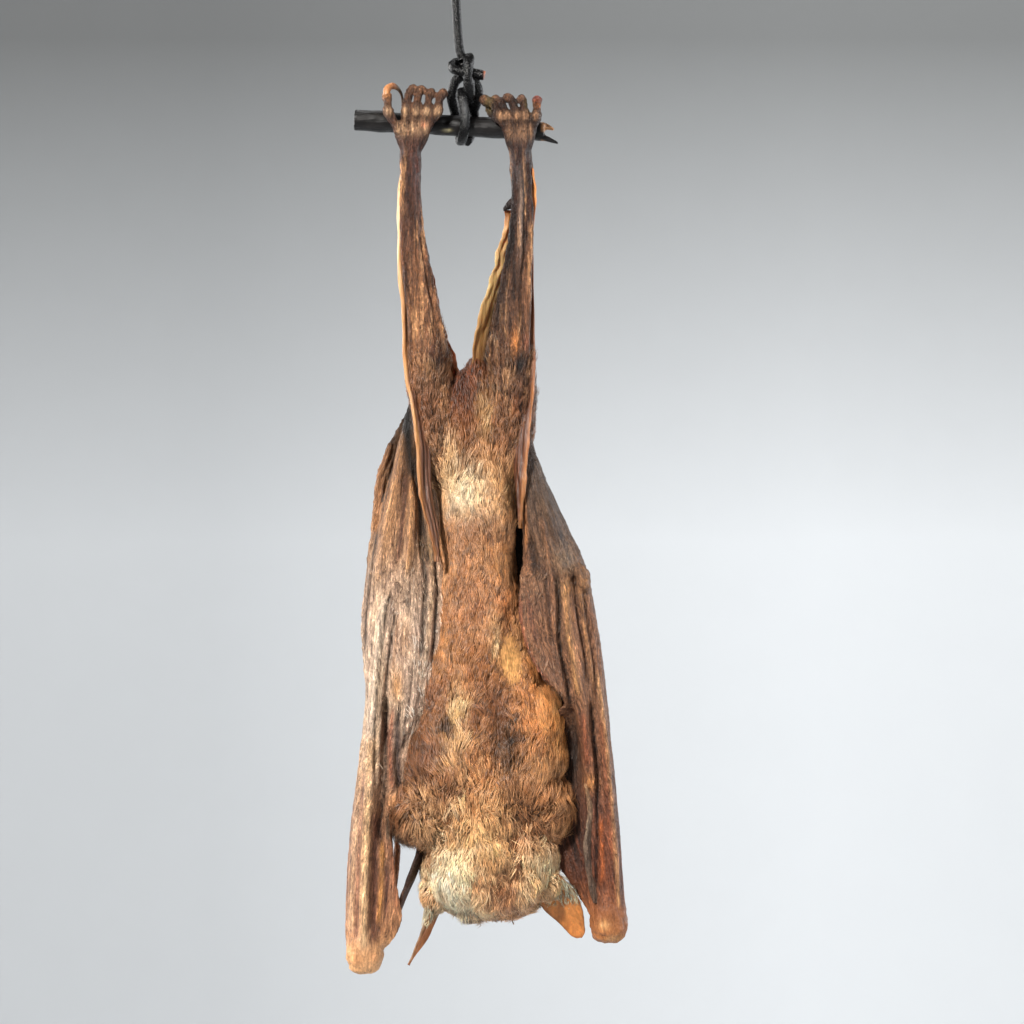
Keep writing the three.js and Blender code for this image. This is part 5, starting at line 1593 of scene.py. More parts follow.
# The skin over each arm and the membrane beside it. Each row is a height and then the x and y of six places,
# from the outer edge round the front to the inner edge, which lies behind the body.
MANTLES = {
    "left": [
        [-98, -19.0, -5, -18.6, -6.4, -18.2, -6.8, -17.6, -6.8, -17, -6.4, -16.2, -5],
        [-112, -22.4, -4.8, -21.8, -7.4, -20.4, -8.2, -18.8, -8.6, -17.4, -7.8, -15.8, -5.6],
        [-124, -25.8, -5.2, -24.8, -8.4, -22.8, -9.2, -20.2, -8.6, -17.8, -10, -15.2, -6],
        [-136, -28.8, -5.2, -27.6, -9.2, -25, -10, -21.6, -9.2, -18.6, -12, -13.4, -7],
        [-148, -31.4, -5.2, -30.2, -9.2, -27.6, -10.6, -23.6, -10.6, -19.4, -13, -10, -7],
        [-158, -33, -4.8, -31.6, -9, -28, -11, -23, -13, -18.6, -13.2, -7, -7],
        [-168, -34.2, -4, -32.2, -8.8, -28.6, -11.8, -23.2, -13.6, -17, -13.8, -5, -7],
        [-184, -34.6, -3, -33, -8.8, -30, -12.2, -24, -13.4, -17.4, -14.4, -4, -7],
        [-200, -34, -2.4, -33.2, -8.8, -31.2, -12.2, -26, -11.2, -20.4, -14.2, -6, -7],
        [-215, -35.4, -2, -34.4, -8.6, -32.6, -12, -28, -9, -24.2, -12.4, -10, -6],
        [-230, -37.2, -2, -36.2, -8, -33.6, -11.8, -29, -8.2, -25, -11.6, -16, -5],
        [-245, -39.2, -2, -38, -7.2, -34.6, -11.4, -30, -7.6, -27, -8, -24.8, -5],
        [-258, -40.4, -2, -39, -6.8, -35, -11.2, -30.6, -7.2, -27.6, -7.4, -25, -5],
        [-268, -40.8, -2, -39.4, -6.4, -35.2, -10.8, -31, -7, -27.4, -7, -23.4, -4.8],
        [-277, -41, -2, -39.6, -6, -35.2, -10.2, -31, -6.8, -26.8, -6.6, -22, -4.6],
        [-284, -41, -1.6, -39.8, -5.6, -35.2, -9.6, -31.4, -6.6, -28, -6, -24.4, -4.4],
        [-289, -40.0, -1.0, -38.6, -4.4, -35.2, -7.2, -32.6, -5.4, -30.6, -4.4, -28.8, -3],
    ],
    "right": [
        [-100, 20.4, -5, 20.2, -6.6, 19.6, -7, 19, -7, 18.2, -6.4, 17.4, -4],
        [-112, 23.2, -4.6, 22.6, -7.6, 21.4, -8.6, 20, -9, 18.8, -8.6, 17.6, -5],
        [-125, 28.2, -4.4, 27, -8, 25, -9.8, 22.4, -10.8, 20.4, -11, 18.6, -6],
        [-138, 33.6, -4.2, 32, -8.4, 29.6, -11.4, 26, -12.2, 22.4, -12.6, 20.6, -7],
        [-150, 40, -4, 38.4, -8.8, 34.6, -12.4, 29.4, -14.4, 24, -13.4, 20.6, -9],
        [-160, 43.2, -4, 41.4, -9.6, 37.6, -13.4, 31, -15.2, 25, -15.8, 19.2, -14.4],
        [-170, 44.6, -3.6, 43, -9.6, 38.4, -12.8, 31.8, -15.8, 25.4, -17.8, 18.9, -17.6],
        [-179, 46.2, -3.4, 44.4, -9.4, 39.4, -13, 33, -15.4, 26.6, -18.6, 20.4, -19.4],
        [-187, 47.2, -3.2, 45.6, -9.2, 40.6, -13.2, 35.2, -14.4, 29, -18.4, 23.4, -20],
        [-194, 48, -3, 46.6, -9.2, 41.6, -13.2, 37.2, -13, 32.4, -17.4, 28.4, -19.4],
        [-202, 48.8, -2.8, 47.6, -9, 43.6, -12.2, 40.8, -12.8, 38.4, -12, 34.4, -14.6],
        [-212, 49.6, -2.6, 48.6, -9, 45.4, -10.4, 42, -12.4, 38, -5, 26, -2],
        [-225, 50.6, -2.4, 49.8, -8.8, 46.4, -9.4, 43.4, -11.8, 38, -4, 27, 0],
        [-238, 51.9, -2.2, 51, -8.4, 47.4, -9, 44.2, -9.6, 39, -4.4, 29, 0],
        [-250, 53, -2, 52, -8, 48.2, -9, 44.8, -8, 40, -4.4, 31, -0.5],
        [-260, 53.8, -1.8, 52.6, -7.6, 49, -8.6, 45.6, -7.4, 41, -4.6, 33.4, -1],
        [-268, 54.4, -1.6, 53.2, -7, 49.6, -8, 46.4, -7, 43, -5, 38.6, -2],
        [-275, 55, -1.4, 53.8, -6.2, 50.2, -7.4, 47.4, -6.4, 45.4, -5, 43, -3],
        [-278, 55.0, -1, 53.6, -4.4, 50.4, -5.4, 48, -4.8, 46.6, -4.0, 45.2, -3],
    ],
}

# A sheet at the bottom of the slot between each wing and the body, which stands for the slot's shadow and is
# painted near black by the wing's dark spots, as rows of a sheet.
SLOT_SHADE_SHEETS = {
    "left": [
        [-100, -20, -2, -8, 0], [-108, -24.4, -2, -8, 0], [-116, -27.6, -1, -7, 1], [-126, -29, -1, -7, 1],
        [-140, -20, -2, -6, 1], [-168, -18, -2, -5, 1], [-200, -20, -2, -8, 1],
    ],
    "right": [
        [-104, 20, -2, 11, 0], [-125, 24, -2, 12, 1], [-150, 26, -2, 12, 1], [-180, 34, -1, 18, 2],
        [-200, 43, 0, 24, 2], [-218, 42, 1, 26, 3],
    ],
}

OUTER_FOLD = [
    [-111.5, -26.2, -3.6, -24.2, -1], [-117, -28.2, -3.8, -25, 0], [-122, -30.2, -4.2, -26, 1],
    [-132, -31.7, -4.8, -28, 2], [-145, -32.8, -5.2, -29.4, 3], [-158, -34.3, -5.0, -31, 4],
    [-168, -35.5, -4.6, -32, 5], [-178, -36.1, -4.2, -32, 5], [-187, -35.3, -4, -32, 5],
    [-196, -34.4, -3.6, -31, 5],
]

# Folds, cords and cracks of each wing: half width, height, colour, strength, and the x and z along it. Some of
# the darkest rows are painted shade in slits, cracks and hollows, and some pale rows are painted highlights on
# lit ridges, as marked.
FOLDS = {
    "left": [
        # Painted shadow in the slit between the panel's outer edge and the outer fold.
        (0.5, -1.2, (40, 30, 26), 0.9, [
            (-24.6, -116), (-27.1, -130), (-30.4, -142.5), (-33, -158), (-34.4, -172), (-34.8, -186),
        ]),
        (1.6, 0.4, (206, 156, 112), 0.7, [(-25.6, -111), (-28.6, -121), (-29.8, -132), (-31.6, -146)]),
        # Painted shadow of the slot between the wing and the body.
        (1.0, -1.5, (18, 14, 13), 0.95, [
            (-17.8, -112), (-17.2, -122), (-15.6, -134), (-13.6, -145), (-12.2, -156),
        ]),
        # Painted highlight along the lit outer front of the panel.
        (1.3, 0.5, (202, 158, 114), 0.5, [
            (-21.2, -106), (-23.4, -122), (-26.2, -136), (-28.6, -150), (-30.4, -162),
        ]),
        # Painted highlight on the lit inner edge of the panel, beside the slot.
        (0.7, 0.5, (216, 162, 106), 0.6, [(-18.6, -112), (-18.2, -124), (-19.0, -134)]),
        (1.1, -1.2, (88, 56, 48), 0.85, [(-20.4, -120), (-21.2, -134), (-22.4, -147), (-24.2, -156)]),
        (1.4, 1.1, (192, 144, 96), 0.7, [(-17.8, -128), (-18.5, -141), (-19.2, -151), (-20.4, -159)]),
        (0.7, -1.4, (56, 48, 38), 0.9, [
            (-15.8, -136), (-14.8, -150), (-13.2, -160), (-14.1, -176), (-14.8, -188),
        ]),
        (1.0, 1.0, (164, 136, 102), 0.7, [
            (-12.6, -142), (-11.6, -152), (-10.8, -162), (-12.2, -176), (-13.4, -190),
        ]),
        (0.5, -1.0, (50, 36, 30), 0.85, [(-10.6, -150), (-9.6, -164), (-10.2, -176), (-11.6, -190)]),
        (1.2, 0.9, (222, 208, 190), 0.9, [
            (-26.6, -163), (-29, -173), (-30.4, -191), (-31.7, -205), (-32.6, -223), (-33.6, -238),
        ]),
        (0.4, -1.5, (38, 30, 27), 0.95, [
            (-25.4, -162), (-27.6, -172), (-28.9, -186), (-30.5, -200), (-31.2, -214), (-31.6, -228),
        ]),
        (0.8, 0.7, (194, 172, 146), 0.75, [
            (-25.6, -172), (-27.7, -186), (-29.3, -200), (-30.0, -216), (-30.6, -234),
        ]),
        (0.4, -1.3, (48, 36, 30), 0.9, [(-23.6, -167), (-25.0, -178), (-26.5, -190), (-27.4, -200)]),
        (0.7, 0.6, (190, 150, 112), 0.6, [(-22.8, -170), (-24.0, -182), (-25.2, -194)]),
        # Painted shade in the crack between the forearm and the upper arm.
        (0.8, -2.4, (20, 15, 13), 0.97, [
            (-27.5, -198), (-27.3, -212), (-27.6, -228), (-28.9, -240), (-29.6, -247), (-28.6, -254),
            (-27.6, -261),
        ]),
        # Painted highlight along the lit bone of the forearm.
        (1.9, 0.9, (228, 192, 150), 0.85, [
            (-32.6, -212), (-33.5, -234), (-34.3, -252), (-34.9, -270), (-35.2, -290),
        ]),
        # Painted highlight: the brightest glint on the forearm's bone.
        (0.5, 0.2, (252, 224, 176), 0.65, [(-33.2, -232), (-34.0, -250), (-34.7, -270), (-34.9, -288)]),
        (0.8, -0.8, (122, 82, 72), 0.75, [(-34.9, -224), (-36.6, -246), (-37.4, -266), (-37.8, -286)]),
        (1.2, 0.6, (224, 190, 156), 0.75, [(-35.4, -212), (-37.6, -242), (-39.2, -262), (-39.9, -284)]),
        (0.9, 0.8, (164, 94, 60), 0.8, [(-24.6, -202), (-25.8, -214), (-25.6, -226), (-25.0, -234)]),
        (1.0, -1.7, (40, 30, 40), 0.92, [(-22.4, -200), (-23.2, -210), (-23.3, -222), (-22.4, -234)]),
        (0.4, -0.8, (66, 42, 32), 0.75, [(-17.6, -188), (-18.6, -198), (-20.4, -209), (-21.4, -222)]),
        (1.5, -0.4, (100, 62, 54), 0.75, [(-31.2, -238), (-31.4, -252), (-31.6, -270), (-31.6, -288)]),
        (0.8, 0.9, (206, 152, 86), 0.85, [(-29.0, -249), (-28.8, -260), (-29.2, -270), (-30.2, -281)]),
        (0.6, -0.9, (84, 48, 42), 0.85, [(-27.4, -256), (-27.0, -266), (-27.6, -279)]),
        (0.8, 0.7, (156, 102, 72), 0.65, [(-26.0, -247), (-25.6, -255), (-24.4, -266), (-23.2, -277)]),
        (0.6, 0.3, (84, 80, 66), 0.85, [(-26.8, -239), (-26.9, -246), (-26.2, -253)]),
        # Painted shadow in the black gap between the leg's edge and the wing.
        (2.0, -1.2, (18, 14, 13), 0.96, [(-20.6, -97), (-20.2, -106), (-19.0, -116), (-17.4, -127)]),
    ],
    "right": [
        (1.3, 0.4, (96, 84, 76), 0.5, [(23.4, -116), (29.0, -133), (35.0, -148), (38.6, -158)]),
        # Painted shade in a dark valley of the panel.
        (1.5, -1.3, (38, 26, 22), 0.88, [(22.4, -143), (23.8, -151), (25.4, -159)]),
        (0.9, 0.8, (150, 106, 74), 0.5, [
            (26.4, -136), (28.5, -147), (29.8, -156), (30.9, -167), (31.4, -180),
        ]),
        (0.5, -0.8, (56, 36, 30), 0.8, [(27.0, -150), (28.6, -160), (29.6, -172), (30.4, -184)]),
        # Painted shade along the gap on the inner side of the upper arm.
        (0.7, -2.0, (22, 15, 14), 0.97, [
            (32.0, -156), (33.1, -168), (32.9, -179), (33.8, -186), (36, -194), (36.8, -204),
        ]),
        (1.1, 1.0, (192, 148, 100), 0.75, [
            (34.4, -158), (35.5, -167), (36.2, -178), (38.0, -190), (39.8, -201),
        ]),
        (0.45, -1.2, (54, 34, 28), 0.9, [
            (37.2, -154), (38.4, -161), (39.6, -173), (41.8, -184), (43.2, -197),
        ]),
        (0.9, 0.7, (178, 134, 92), 0.65, [(39.6, -160), (41.2, -172), (43.2, -184), (45.0, -197)]),
        (0.4, -1.0, (68, 44, 36), 0.85, [(41.4, -163), (43.4, -176), (45.2, -190), (46.4, -203)]),
        # Painted highlight: the pale line along the forearm's outer side.
        (0.7, 0.7, (216, 172, 126), 0.8, [
            (46.0, -190), (48.0, -204), (49.7, -220), (51.4, -238), (52.9, -258), (53.9, -275),
        ]),
        (1.3, 0.6, (154, 90, 60), 0.75, [(40.6, -203), (41.8, -213), (43.2, -226)]),
        # Painted shade in the crack between the upper arm and the forearm.
        (0.6, -1.8, (18, 13, 12), 0.97, [
            (44.2, -200), (45.0, -212), (46.2, -226), (46.4, -240), (46.0, -256), (45.6, -269),
        ]),
        (1.2, 0.5, (138, 82, 54), 0.65, [(47.4, -206), (48.9, -222), (50.4, -240), (51.4, -258)]),
        (0.8, 0.5, (190, 106, 52), 0.8, [(47.4, -240), (47.8, -252), (47.8, -267)]),
        (0.4, 0.7, (126, 74, 50), 0.75, [(36.8, -240), (39.0, -250), (42.0, -261)]),
        (0.4, 0.6, (104, 62, 44), 0.7, [(34.8, -246), (37.6, -256), (41.4, -267)]),
        (0.5, 0.5, (156, 88, 62), 0.8, [
            (19.2, -164), (19.3, -172), (20.7, -179.5), (23.7, -187), (27.0, -191.8), (31.0, -197.5),
        ]),
        (0.5, 0.4, (196, 134, 82), 0.7, [(20.0, -122), (20.9, -132), (21.4, -142), (21.2, -150)]),
        (0.9, 0.5, (128, 82, 62), 0.6, [(21.6, -162), (23.2, -174), (26.0, -184)]),
    ],
}


def folded(points, colour, table, outside):
    """Draws a table of folds on a surface: its colour with them, and how high they stand."""
    z = points[:, 2]
    height = np.zeros(len(points))
    for half, rise, shade, strength, path in table:
        line = np.array(path[::-1], float)
        middle = np.interp(z, line[:, 1], line[:, 0])
        reach = min(5.0, (line[-1, 1] - line[0, 1]) / 3)
        ends = step(z, line[0, 1], line[0, 1] + reach) * (1 - step(z, line[-1, 1] - reach, line[-1, 1]))
        share = np.exp(-(((points[:, 0] - middle) / half) ** 2)) * ends * outside
        height += share * rise
        if colour is not None:
            colour = over(colour, share * strength, linear(*shade))
    return colour, height


MANTLE_ACROSS, MANTLE_RINGS, MANTLE_THICK = 90, 220, 1.8


def mantle(form, rows, drape):
    """A sheet whose every row is a height and then the x and y of places across it."""
    u, v = np.linspace(0, 1, MANTLE_RINGS), np.linspace(0, 1, MANTLE_ACROSS)
    row = between(rows, u)
    flat = np.stack([between(r[1:].reshape(-1, 2), v) for r in row])
    along = unit(np.gradient(flat, axis=1))
    off = np.stack([along[..., 1], -along[..., 0]], axis=-1)
    lift = drape(v[None, :], u[:, None])
    height = np.repeat(row[:, :1, None], MANTLE_ACROSS, axis=1)
    body = 0.75 + 0.25 * np.sin(math.pi * v) ** 0.4
    form.shell(*(
        np.concatenate([flat + off * (lift + half * MANTLE_THICK * body)[..., None], height], axis=-1)
        for half in (0.5, -0.5)
    ))


def wing_drape(v, u):
    """Soft folds that fan out from the knee and fade at the membrane's edges."""
    fade = np.sin(math.pi * v) ** 0.7 * np.minimum(1, 0.3 + u * 1.6) * (1 - 0.7 * step(u, 0.5, 0.7))
    broad = 0.35 * np.sin(v * math.pi * 6 + 0.9 * np.sin(u * 9))
    return fade * (broad + 0.2 * np.sin(v * math.pi * 13 + 1.5 * np.sin(u * 12 + 1)))


def finger_ridges(turn, u):
    strength = 0.09 * np.sin(math.pi * np.minimum(1, u * 1.2 + 0.1)) ** 0.5
    return 1 + strength * np.cos(turn * 5) + 0.035 * np.cos(turn * 13 + 2 * np.sin(u * 6))


WRIST_BONES = (2.1, 2.6, 2.1, 2.7, 2.3, 2.5, 2.0, 2.4, 2.1, 2.5)  # their radii, round the end of the wing


def wing_form(side):
    form, arm = Form(), ARMS[side]
    limb(form, arm["hand"], sides=72, steps=110, cap=0.8, ridge=finger_ridges)
    limb(form, arm["forearm"], steps=90, cap=0.3)
    limb(form, arm["upper_arm"], steps=70)
    limb(form, arm["wrist"], sides=40, steps=24, cap=0.3)
    x, y, z, width, depth, height = arm["elbow"]
    ball(form, (x, y, z), (width, depth, height))
    ball(form, (x - 1.2, y - 1.0, z + 2.2), (width * 0.6, depth * 0.85, height * 0.5))
    ball(form, (x + 1.5, y - 1.2, z - 1.8), (width * 0.55, depth * 0.85, height * 0.55))
    ball(form, arm["bump"][:3], arm["bump"][3:])
    x, y, z = arm["wrist"][-1][:3]
    for k, radius in enumerate(WRIST_BONES):
        turn = math.tau * (k + 0.3) / len(WRIST_BONES)
        middle = (x + 3.5 * math.cos(turn), y - 3.7 * math.sin(turn), z - 0.6)
        ball(form, middle, (radius * 0.95, radius * 0.95, radius * 0.8))
    mantle(form, MANTLES[side], wing_drape)
    # A sheet that stands for the shadow at the bottom of the slot beside the body.
    sheet(form, SLOT_SHADE_SHEETS[side], across=12, rings=80, thick=2.0, taper=0.9)
    limb(form, THUMBS[side], sides=20, steps=50)
    if side == "left":
        sheet(form, OUTER_FOLD, across=12, rings=110, thick=1.5, taper=0.8,
              edge=lambda u: 0.25 * np.sin(u * 29) + 0.15 * np.sin(u * 67))
    return form


WING_EDGES = {
    "left": [
        (-112, -16, -23.6), (-150, -13, -33), (-180, -11, -36), (-205, -12, -34), (-245, -23, -39),
        (-295, -28, -41.5),
    ],
    "right": [
        (-112, 17, 23.6), (-150, 18, 41), (-180, 20, 47), (-205, 30, 49.6), (-245, 34, 52.6), (-286, 44, 57),
    ],
}


def silhouette(side, z):
    """The x of the wing's inner and outer edge at a height."""
    heights, inner, outer = np.array(WING_EDGES[side])[::-1].T
    return np.interp(z, heights, inner), np.interp(z, heights, outer)


# How far below the twig the smooth, bony end of each wrist begins.
KNOB_TOPS = {"left": 286, "right": 273}


def wing_lie(points, side):
    """The lie of the fibres, which fan with the wing."""
    inner, outer = silhouette(side, points[:, 2])
    across = (points[:, 0] - inner) / (outer - inner) * 22
    lie = np.stack([across - 11, points[:, 1] + 2, (points[:, 2] + KNOB_TOPS[side]) * 0.1], axis=-1)
    return lie * (1 - 0.4 * step(-points[:, 2], 205, 262))[:, None]


def between_fingers(points, side):
    """The share by which a place on the wing's outer side lies in a groove between the folded fingers."""
    hand = np.array(ARMS[side]["hand"])[::-1]
    z = points[:, 2]
    middle_x, middle_y, _, wide, deep = (np.interp(z, hand[:, 2], hand[:, k]) for k in range(5))
    outwards = (points[:, 0] - middle_x) / wide * (-1 if side == "left" else 1)
    place = (points[:, 1] - middle_y) / deep * 2.1 + 0.15 * np.sin(z / 13)
    place = place + 0.1 * noise(points, (9, 9, 30), 87)
    groove = np.exp(-((np.cos(np.pi * place) / 0.5) ** 2))
    knob = step(-z, KNOB_TOPS[side] - 12, KNOB_TOPS[side] - 2)
    return groove * step(outwards, 0.1, 0.6) * step(-z, 118, 150) * (1 - knob) * step(points[:, 1], -3, 0)


def wing_wrinkles(side):
    def height(points, normals):
        amount = bpy.context.scene.bat_skin.wrinkle
        lie = wing_lie(points, side)
        z = points[:, 2]
        folds = creases(lie, (3.0, 3.0, 3.4), 81, 2) - 0.72
        fine = creases(lie, (1.5, 1.6, 1.3), 82, 2) - 0.72
        grain = noise(points, (0.95, 0.95, 0.8), 83, 2)
        bony = step(-z, 205, 240) * 0.6
        ribs = ribbed(points, side)
        knob = bell(points, ARMS[side]["elbow"][:3], (5, 6, 6))
        knob_folds = (creases(points, (1.9, 1.9, 1.7), 84, 2) - 0.7) * knob
        smooth = 1 - step(-z, KNOB_TOPS[side] - 2, KNOB_TOPS[side] + 5)
        out = (0.5 * folds + 0.3 * fine) * (1 - bony) * smooth
        out = out + 0.14 * grain * (1 - 0.5 * bony) * (0.25 + 0.75 * smooth)
        outside = step(-normals[:, 1], 0.0, 0.5) * (1 - step(points[:, 1], -4, 2))
        drawn = folded(points, None, FOLDS[side], outside)[1] * smooth
        lumps = 0.5 * noise(points, (2.3, 2.3, 2.0), 88, 2) * (1 - smooth)
        return amount * (out + ribs + 0.6 * knob_folds) + drawn + lumps - 1.1 * between_fingers(points, side)

    return height


def ribbed(points, side):
    """Small ribs that cross the folds near the elbow."""
    x, _, z = points.T
    if side == "left":
        zone = bell(points, (-19.6, -13, -142), (2.4, 5, 15))
        zone = zone + 0.5 * bell(points, (-26.5, -9, -140), (4, 5, 14))
        return 0.16 * zone * np.sin(z * 4.2 + 0.9 * x + 1.4 * noise(points, 3, 85))
    zone = bell(points, (27, -12, -142), (5, 8, 14))
    return 0.3 * zone * np.sin(x * 3.4 + 0.9 * z + 1.6 * noise(points, (4, 4, 9), 85))


# Soft spots on each wing: middle, radii, colour and strength. The near-black ones in the slots and hollows are
# painted shade, as marked.
WING_SPOTS = {
    "left": [
        ((-22.8, -14, -164), (4.0, 6, 4.8), (176, 152, 128), 0.8),
        ((-23.1, -13, -196), (2.6, 5, 6), (214, 158, 92), 0.75),
        ((-20.6, -14, -180), (2.6, 5, 8), (206, 160, 118), 0.7),
        # Painted shadow in the black gap between the leg's edge and the wing.
        ((-20, -8, -104), (3.4, 9, 11), (16, 12, 11), 0.97),
        # Painted shadow in the same gap, on the wing behind it.
        ((-25.4, -1, -113), (4, 4, 10), (18, 14, 13), 0.95),
        # Painted shadow on the sheet at the bottom of the slot beside the body.
        ((-14, -1, -132), (7, 4.6, 30), (18, 14, 13), 0.96),
        ((-34.6, -9, -172), (1.2, 6, 12), (96, 64, 52), 0.7),
        ((-31.4, -9, -176), (3.4, 7, 22), (226, 200, 172), 0.75),
        ((-26.5, -9, -138), (4, 6, 14), (186, 142, 102), 0.5),
        ((-29.5, -9, -160), (4, 6, 9), (186, 154, 122), 0.4),
        ((-24.7, -12, -236.4), (2.4, 4, 3), (206, 152, 102), 0.85),
        ((-35.1, -3, -292.4), (8, 12, 4.6), (236, 182, 128), 0.9),
        ((-37.6, -11, -292), (2, 5, 2.2), (226, 160, 110), 0.5),
        ((-31.4, -11, -290.6), (1.8, 5, 2.4), (222, 156, 108), 0.5),
    ],
    "right": [
        ((35.0, -14, -152), (3.2, 6, 4.4), (150, 130, 106), 0.7),
        ((41.8, -13, -160), (2.2, 6, 5), (168, 128, 88), 0.7),
        # Painted shade in the hollow beside the elbow's knob.
        ((36.6, -14, -159.4), (1.6, 6, 2.4), (44, 32, 26), 0.75),
        # Painted shade in the dark hollow between the body and the upper arm.
        ((38.3, -6, -221), (2.4, 12, 15), (38, 31, 26), 0.9),
        # Painted shadow on the sheet at the bottom of the slot beside the body: both spots on this line.
        ((19.4, -1, -146), (5, 4.6, 26), (16, 13, 12), 0.96), ((36, 0, -204), (8, 4, 16), (20, 15, 13), 0.9),
        ((20.8, -16, -152), (3, 6, 6), (164, 112, 76), 0.5),
        ((36, -14, -162), (3, 6, 4), (190, 140, 92), 0.4),
        ((43.9, -12, -230), (2.4, 4, 2.8), (206, 148, 92), 0.85),
        # Painted shade in the hollows between the body and the wing: both spots on this line.
        ((39, -3, -252), (5, 9, 15), (36, 26, 22), 0.9), ((36.5, 0, -222), (4.5, 8, 16), (26, 20, 18), 0.85),
        ((50.5, -3, -282.4), (8, 12, 4.4), (176, 114, 66), 0.85),
        ((48.6, -10, -279.6), (1.8, 4, 1.8), (232, 184, 124), 0.6),
        ((52.6, -9, -284.6), (3.6, 6, 1.4), (226, 176, 118), 0.7),
    ],
}


def wing_tint(points, side):
    z = points[:, 2]
    if side == "left":
        colour = along(z, [
            (-100, (142, 108, 80)), (-125, (168, 130, 98)), (-150, (178, 146, 118)), (-175, (216, 197, 180)),
            (-205, (213, 193, 174)), (-240, (170, 132, 104)), (-265, (170, 126, 97)), (-282, (186, 138, 100)),
            (-296, (232, 184, 132)),
        ])
    else:
        colour = along(z, [
            (-100, (96, 74, 62)), (-125, (100, 82, 68)), (-150, (116, 90, 70)), (-175, (142, 104, 78)),
            (-205, (146, 107, 80)), (-240, (112, 74, 57)), (-262, (122, 74, 52)), (-272, (132, 82, 52)),
            (-286, (176, 116, 68)),
        ])
    colour = spotted(points, colour, WING_SPOTS[side])
    plain = step(-z, KNOB_TOPS[side], KNOB_TOPS[side] + 5)
    colour = folded(points, colour, FOLDS[side], (1 - step(points[:, 1], -1, 5)) * (1 - 0.85 * plain))[0]
    lie = wing_lie(points, side)
    fine = 0.3 * (1 - 0.35 * step(-z, 215, 250)) * (1 - 0.7 * step(-z, KNOB_TOPS[side] - 7, KNOB_TOPS[side]))
    streaks = 1 + fine * noise(lie, (1.3, 2.4, 2.2), 86, 3)
    shadow = 1 - 0.6 * between_fingers(points, side)
    return colour * (streaks * shadow)[:, None]


NECK_STRAPS = {
    "left": [
        [-246, -15.4, -4, -13.4, 3], [-254, -16.6, -4.4, -14.0, 3], [-262, -19.2, -4.4, -16.8, 2],
        [-270, -22.2, -4.4, -20.4, 0.6], [-277, -24.6, -4.4, -23.4, -1],
    ],
    "right": [
        [-230, 42.0, -11.2, 44.6, -8], [-237, 43.0, -11.4, 45.2, -8], [-245, 42.6, -11.0, 44.6, -8],
        [-254, 41.8, -10.0, 43.8, -7], [-264, 43.0, -8.8, 45.4, -6], [-272, 45.2, -8.0, 47.4, -5.4],
    ],
}


class BAT_OT_wings(bpy.types.Operator):
    """Model the two folded wings, and the dry strap that joins each one's wrist to the shoulder"""

    bl_idname = "bat.wings"
    bl_label = "Wings"

    def execute(self, context):
        for side in SIDES:
            wing = fused(f"wing_skin_{side}", wing_form(side), context.scene.bat_skin.voxel_wing, 3)
            raised(wing, wing_wrinkles(side))
            eased(wing, 1)
            points = points_of(wing)
            store(wing, "tint", wing_tint(points, side))
            store(wing, "lie", wing_lie(points, side), "FLOAT_VECTOR")
            bony = step(-points[:, 2], KNOB_TOPS[side] - 5, KNOB_TOPS[side] + 3)
            store(wing, "bony", np.repeat(0.55 * bony[:, None], 3, axis=1), "FLOAT_VECTOR")
            parts = ("upper_arm", "forearm", "wrist", "hand", "thumb", "wing_membrane", "front_membrane")
            finished(wing, material("dried_wing_membrane"), "membrane", *[f"{part}_{side}" for part in parts])
            form = Form()
            sheet(form, NECK_STRAPS[side], across=12, rings=90, thick=1.5, taper=0.6,
                  pleats=lambda v, u: 0.25 * np.sin(u * 19) * np.sin(math.pi * v),
                  edge=lambda u: 0.3 * np.sin(u * 15) + 0.15 * np.sin(u * 37))
            strap = built(f"wing_strap_{side}", form)
            points = points_of(strap)
            if side == "left":
                tone = along(points[:, 2], [(-246, (64, 44, 36)), (-262, (58, 42, 36)), (-277, (96, 68, 52))])
            else:
                tone = along(points[:, 2], [
                    (-230, (176, 140, 104)), (-245, (132, 118, 104)), (-272, (104, 84, 70)),
                ])
            store(strap, "tint", tone)
            store(strap, "lie", grain_along(points), "FLOAT_VECTOR")
            finished(strap, material("dried_wing_membrane"), "membrane", f"neck_strap_{side}")
        return {"FINISHED"}


# ---------------------------------------------------------------- coat


def lie_of(points, normals):
    """Which way the coat lies: up the back, round to one side across the shoulders, and down on the nape."""
    x, y, z = points.T
    swirl = (0.5 * noise(points, 7, 91, 2) + 0.45 * noise(points, 2.6, 93)) * (0.6 + 0.7 * step(-z, 170, 240))
    turn = -z + 14 * noise(points, 9, 92, 2) + 22 * noise(points, 0.7, 94)
    down = np.where(turn + 9 * np.exp(-(((x - 6) / 11) ** 2)) > 240, 1.0, -1.0)
    outwards = 0.022 * (x - 8) * step(-z, 196, 240)
    lie = np.stack([np.sin(swirl) + outwards, -0.06 * np.ones_like(x), -down * np.cos(swirl)], axis=-1)
    face = step(y, 2, 12) * step(-z, 244, 252)
    back_of_face = np.stack([0.15 * (x - 9) / 12 + 0.4 * swirl, -np.ones_like(x), 0 * x], axis=-1)
    return laid(over(lie, face, back_of_face), normals)


def laid(lie, normals):
    """A direction laid flat on the skin."""
    return unit(lie - normals * np.sum(lie * normals, axis=-1, keepdims=True))


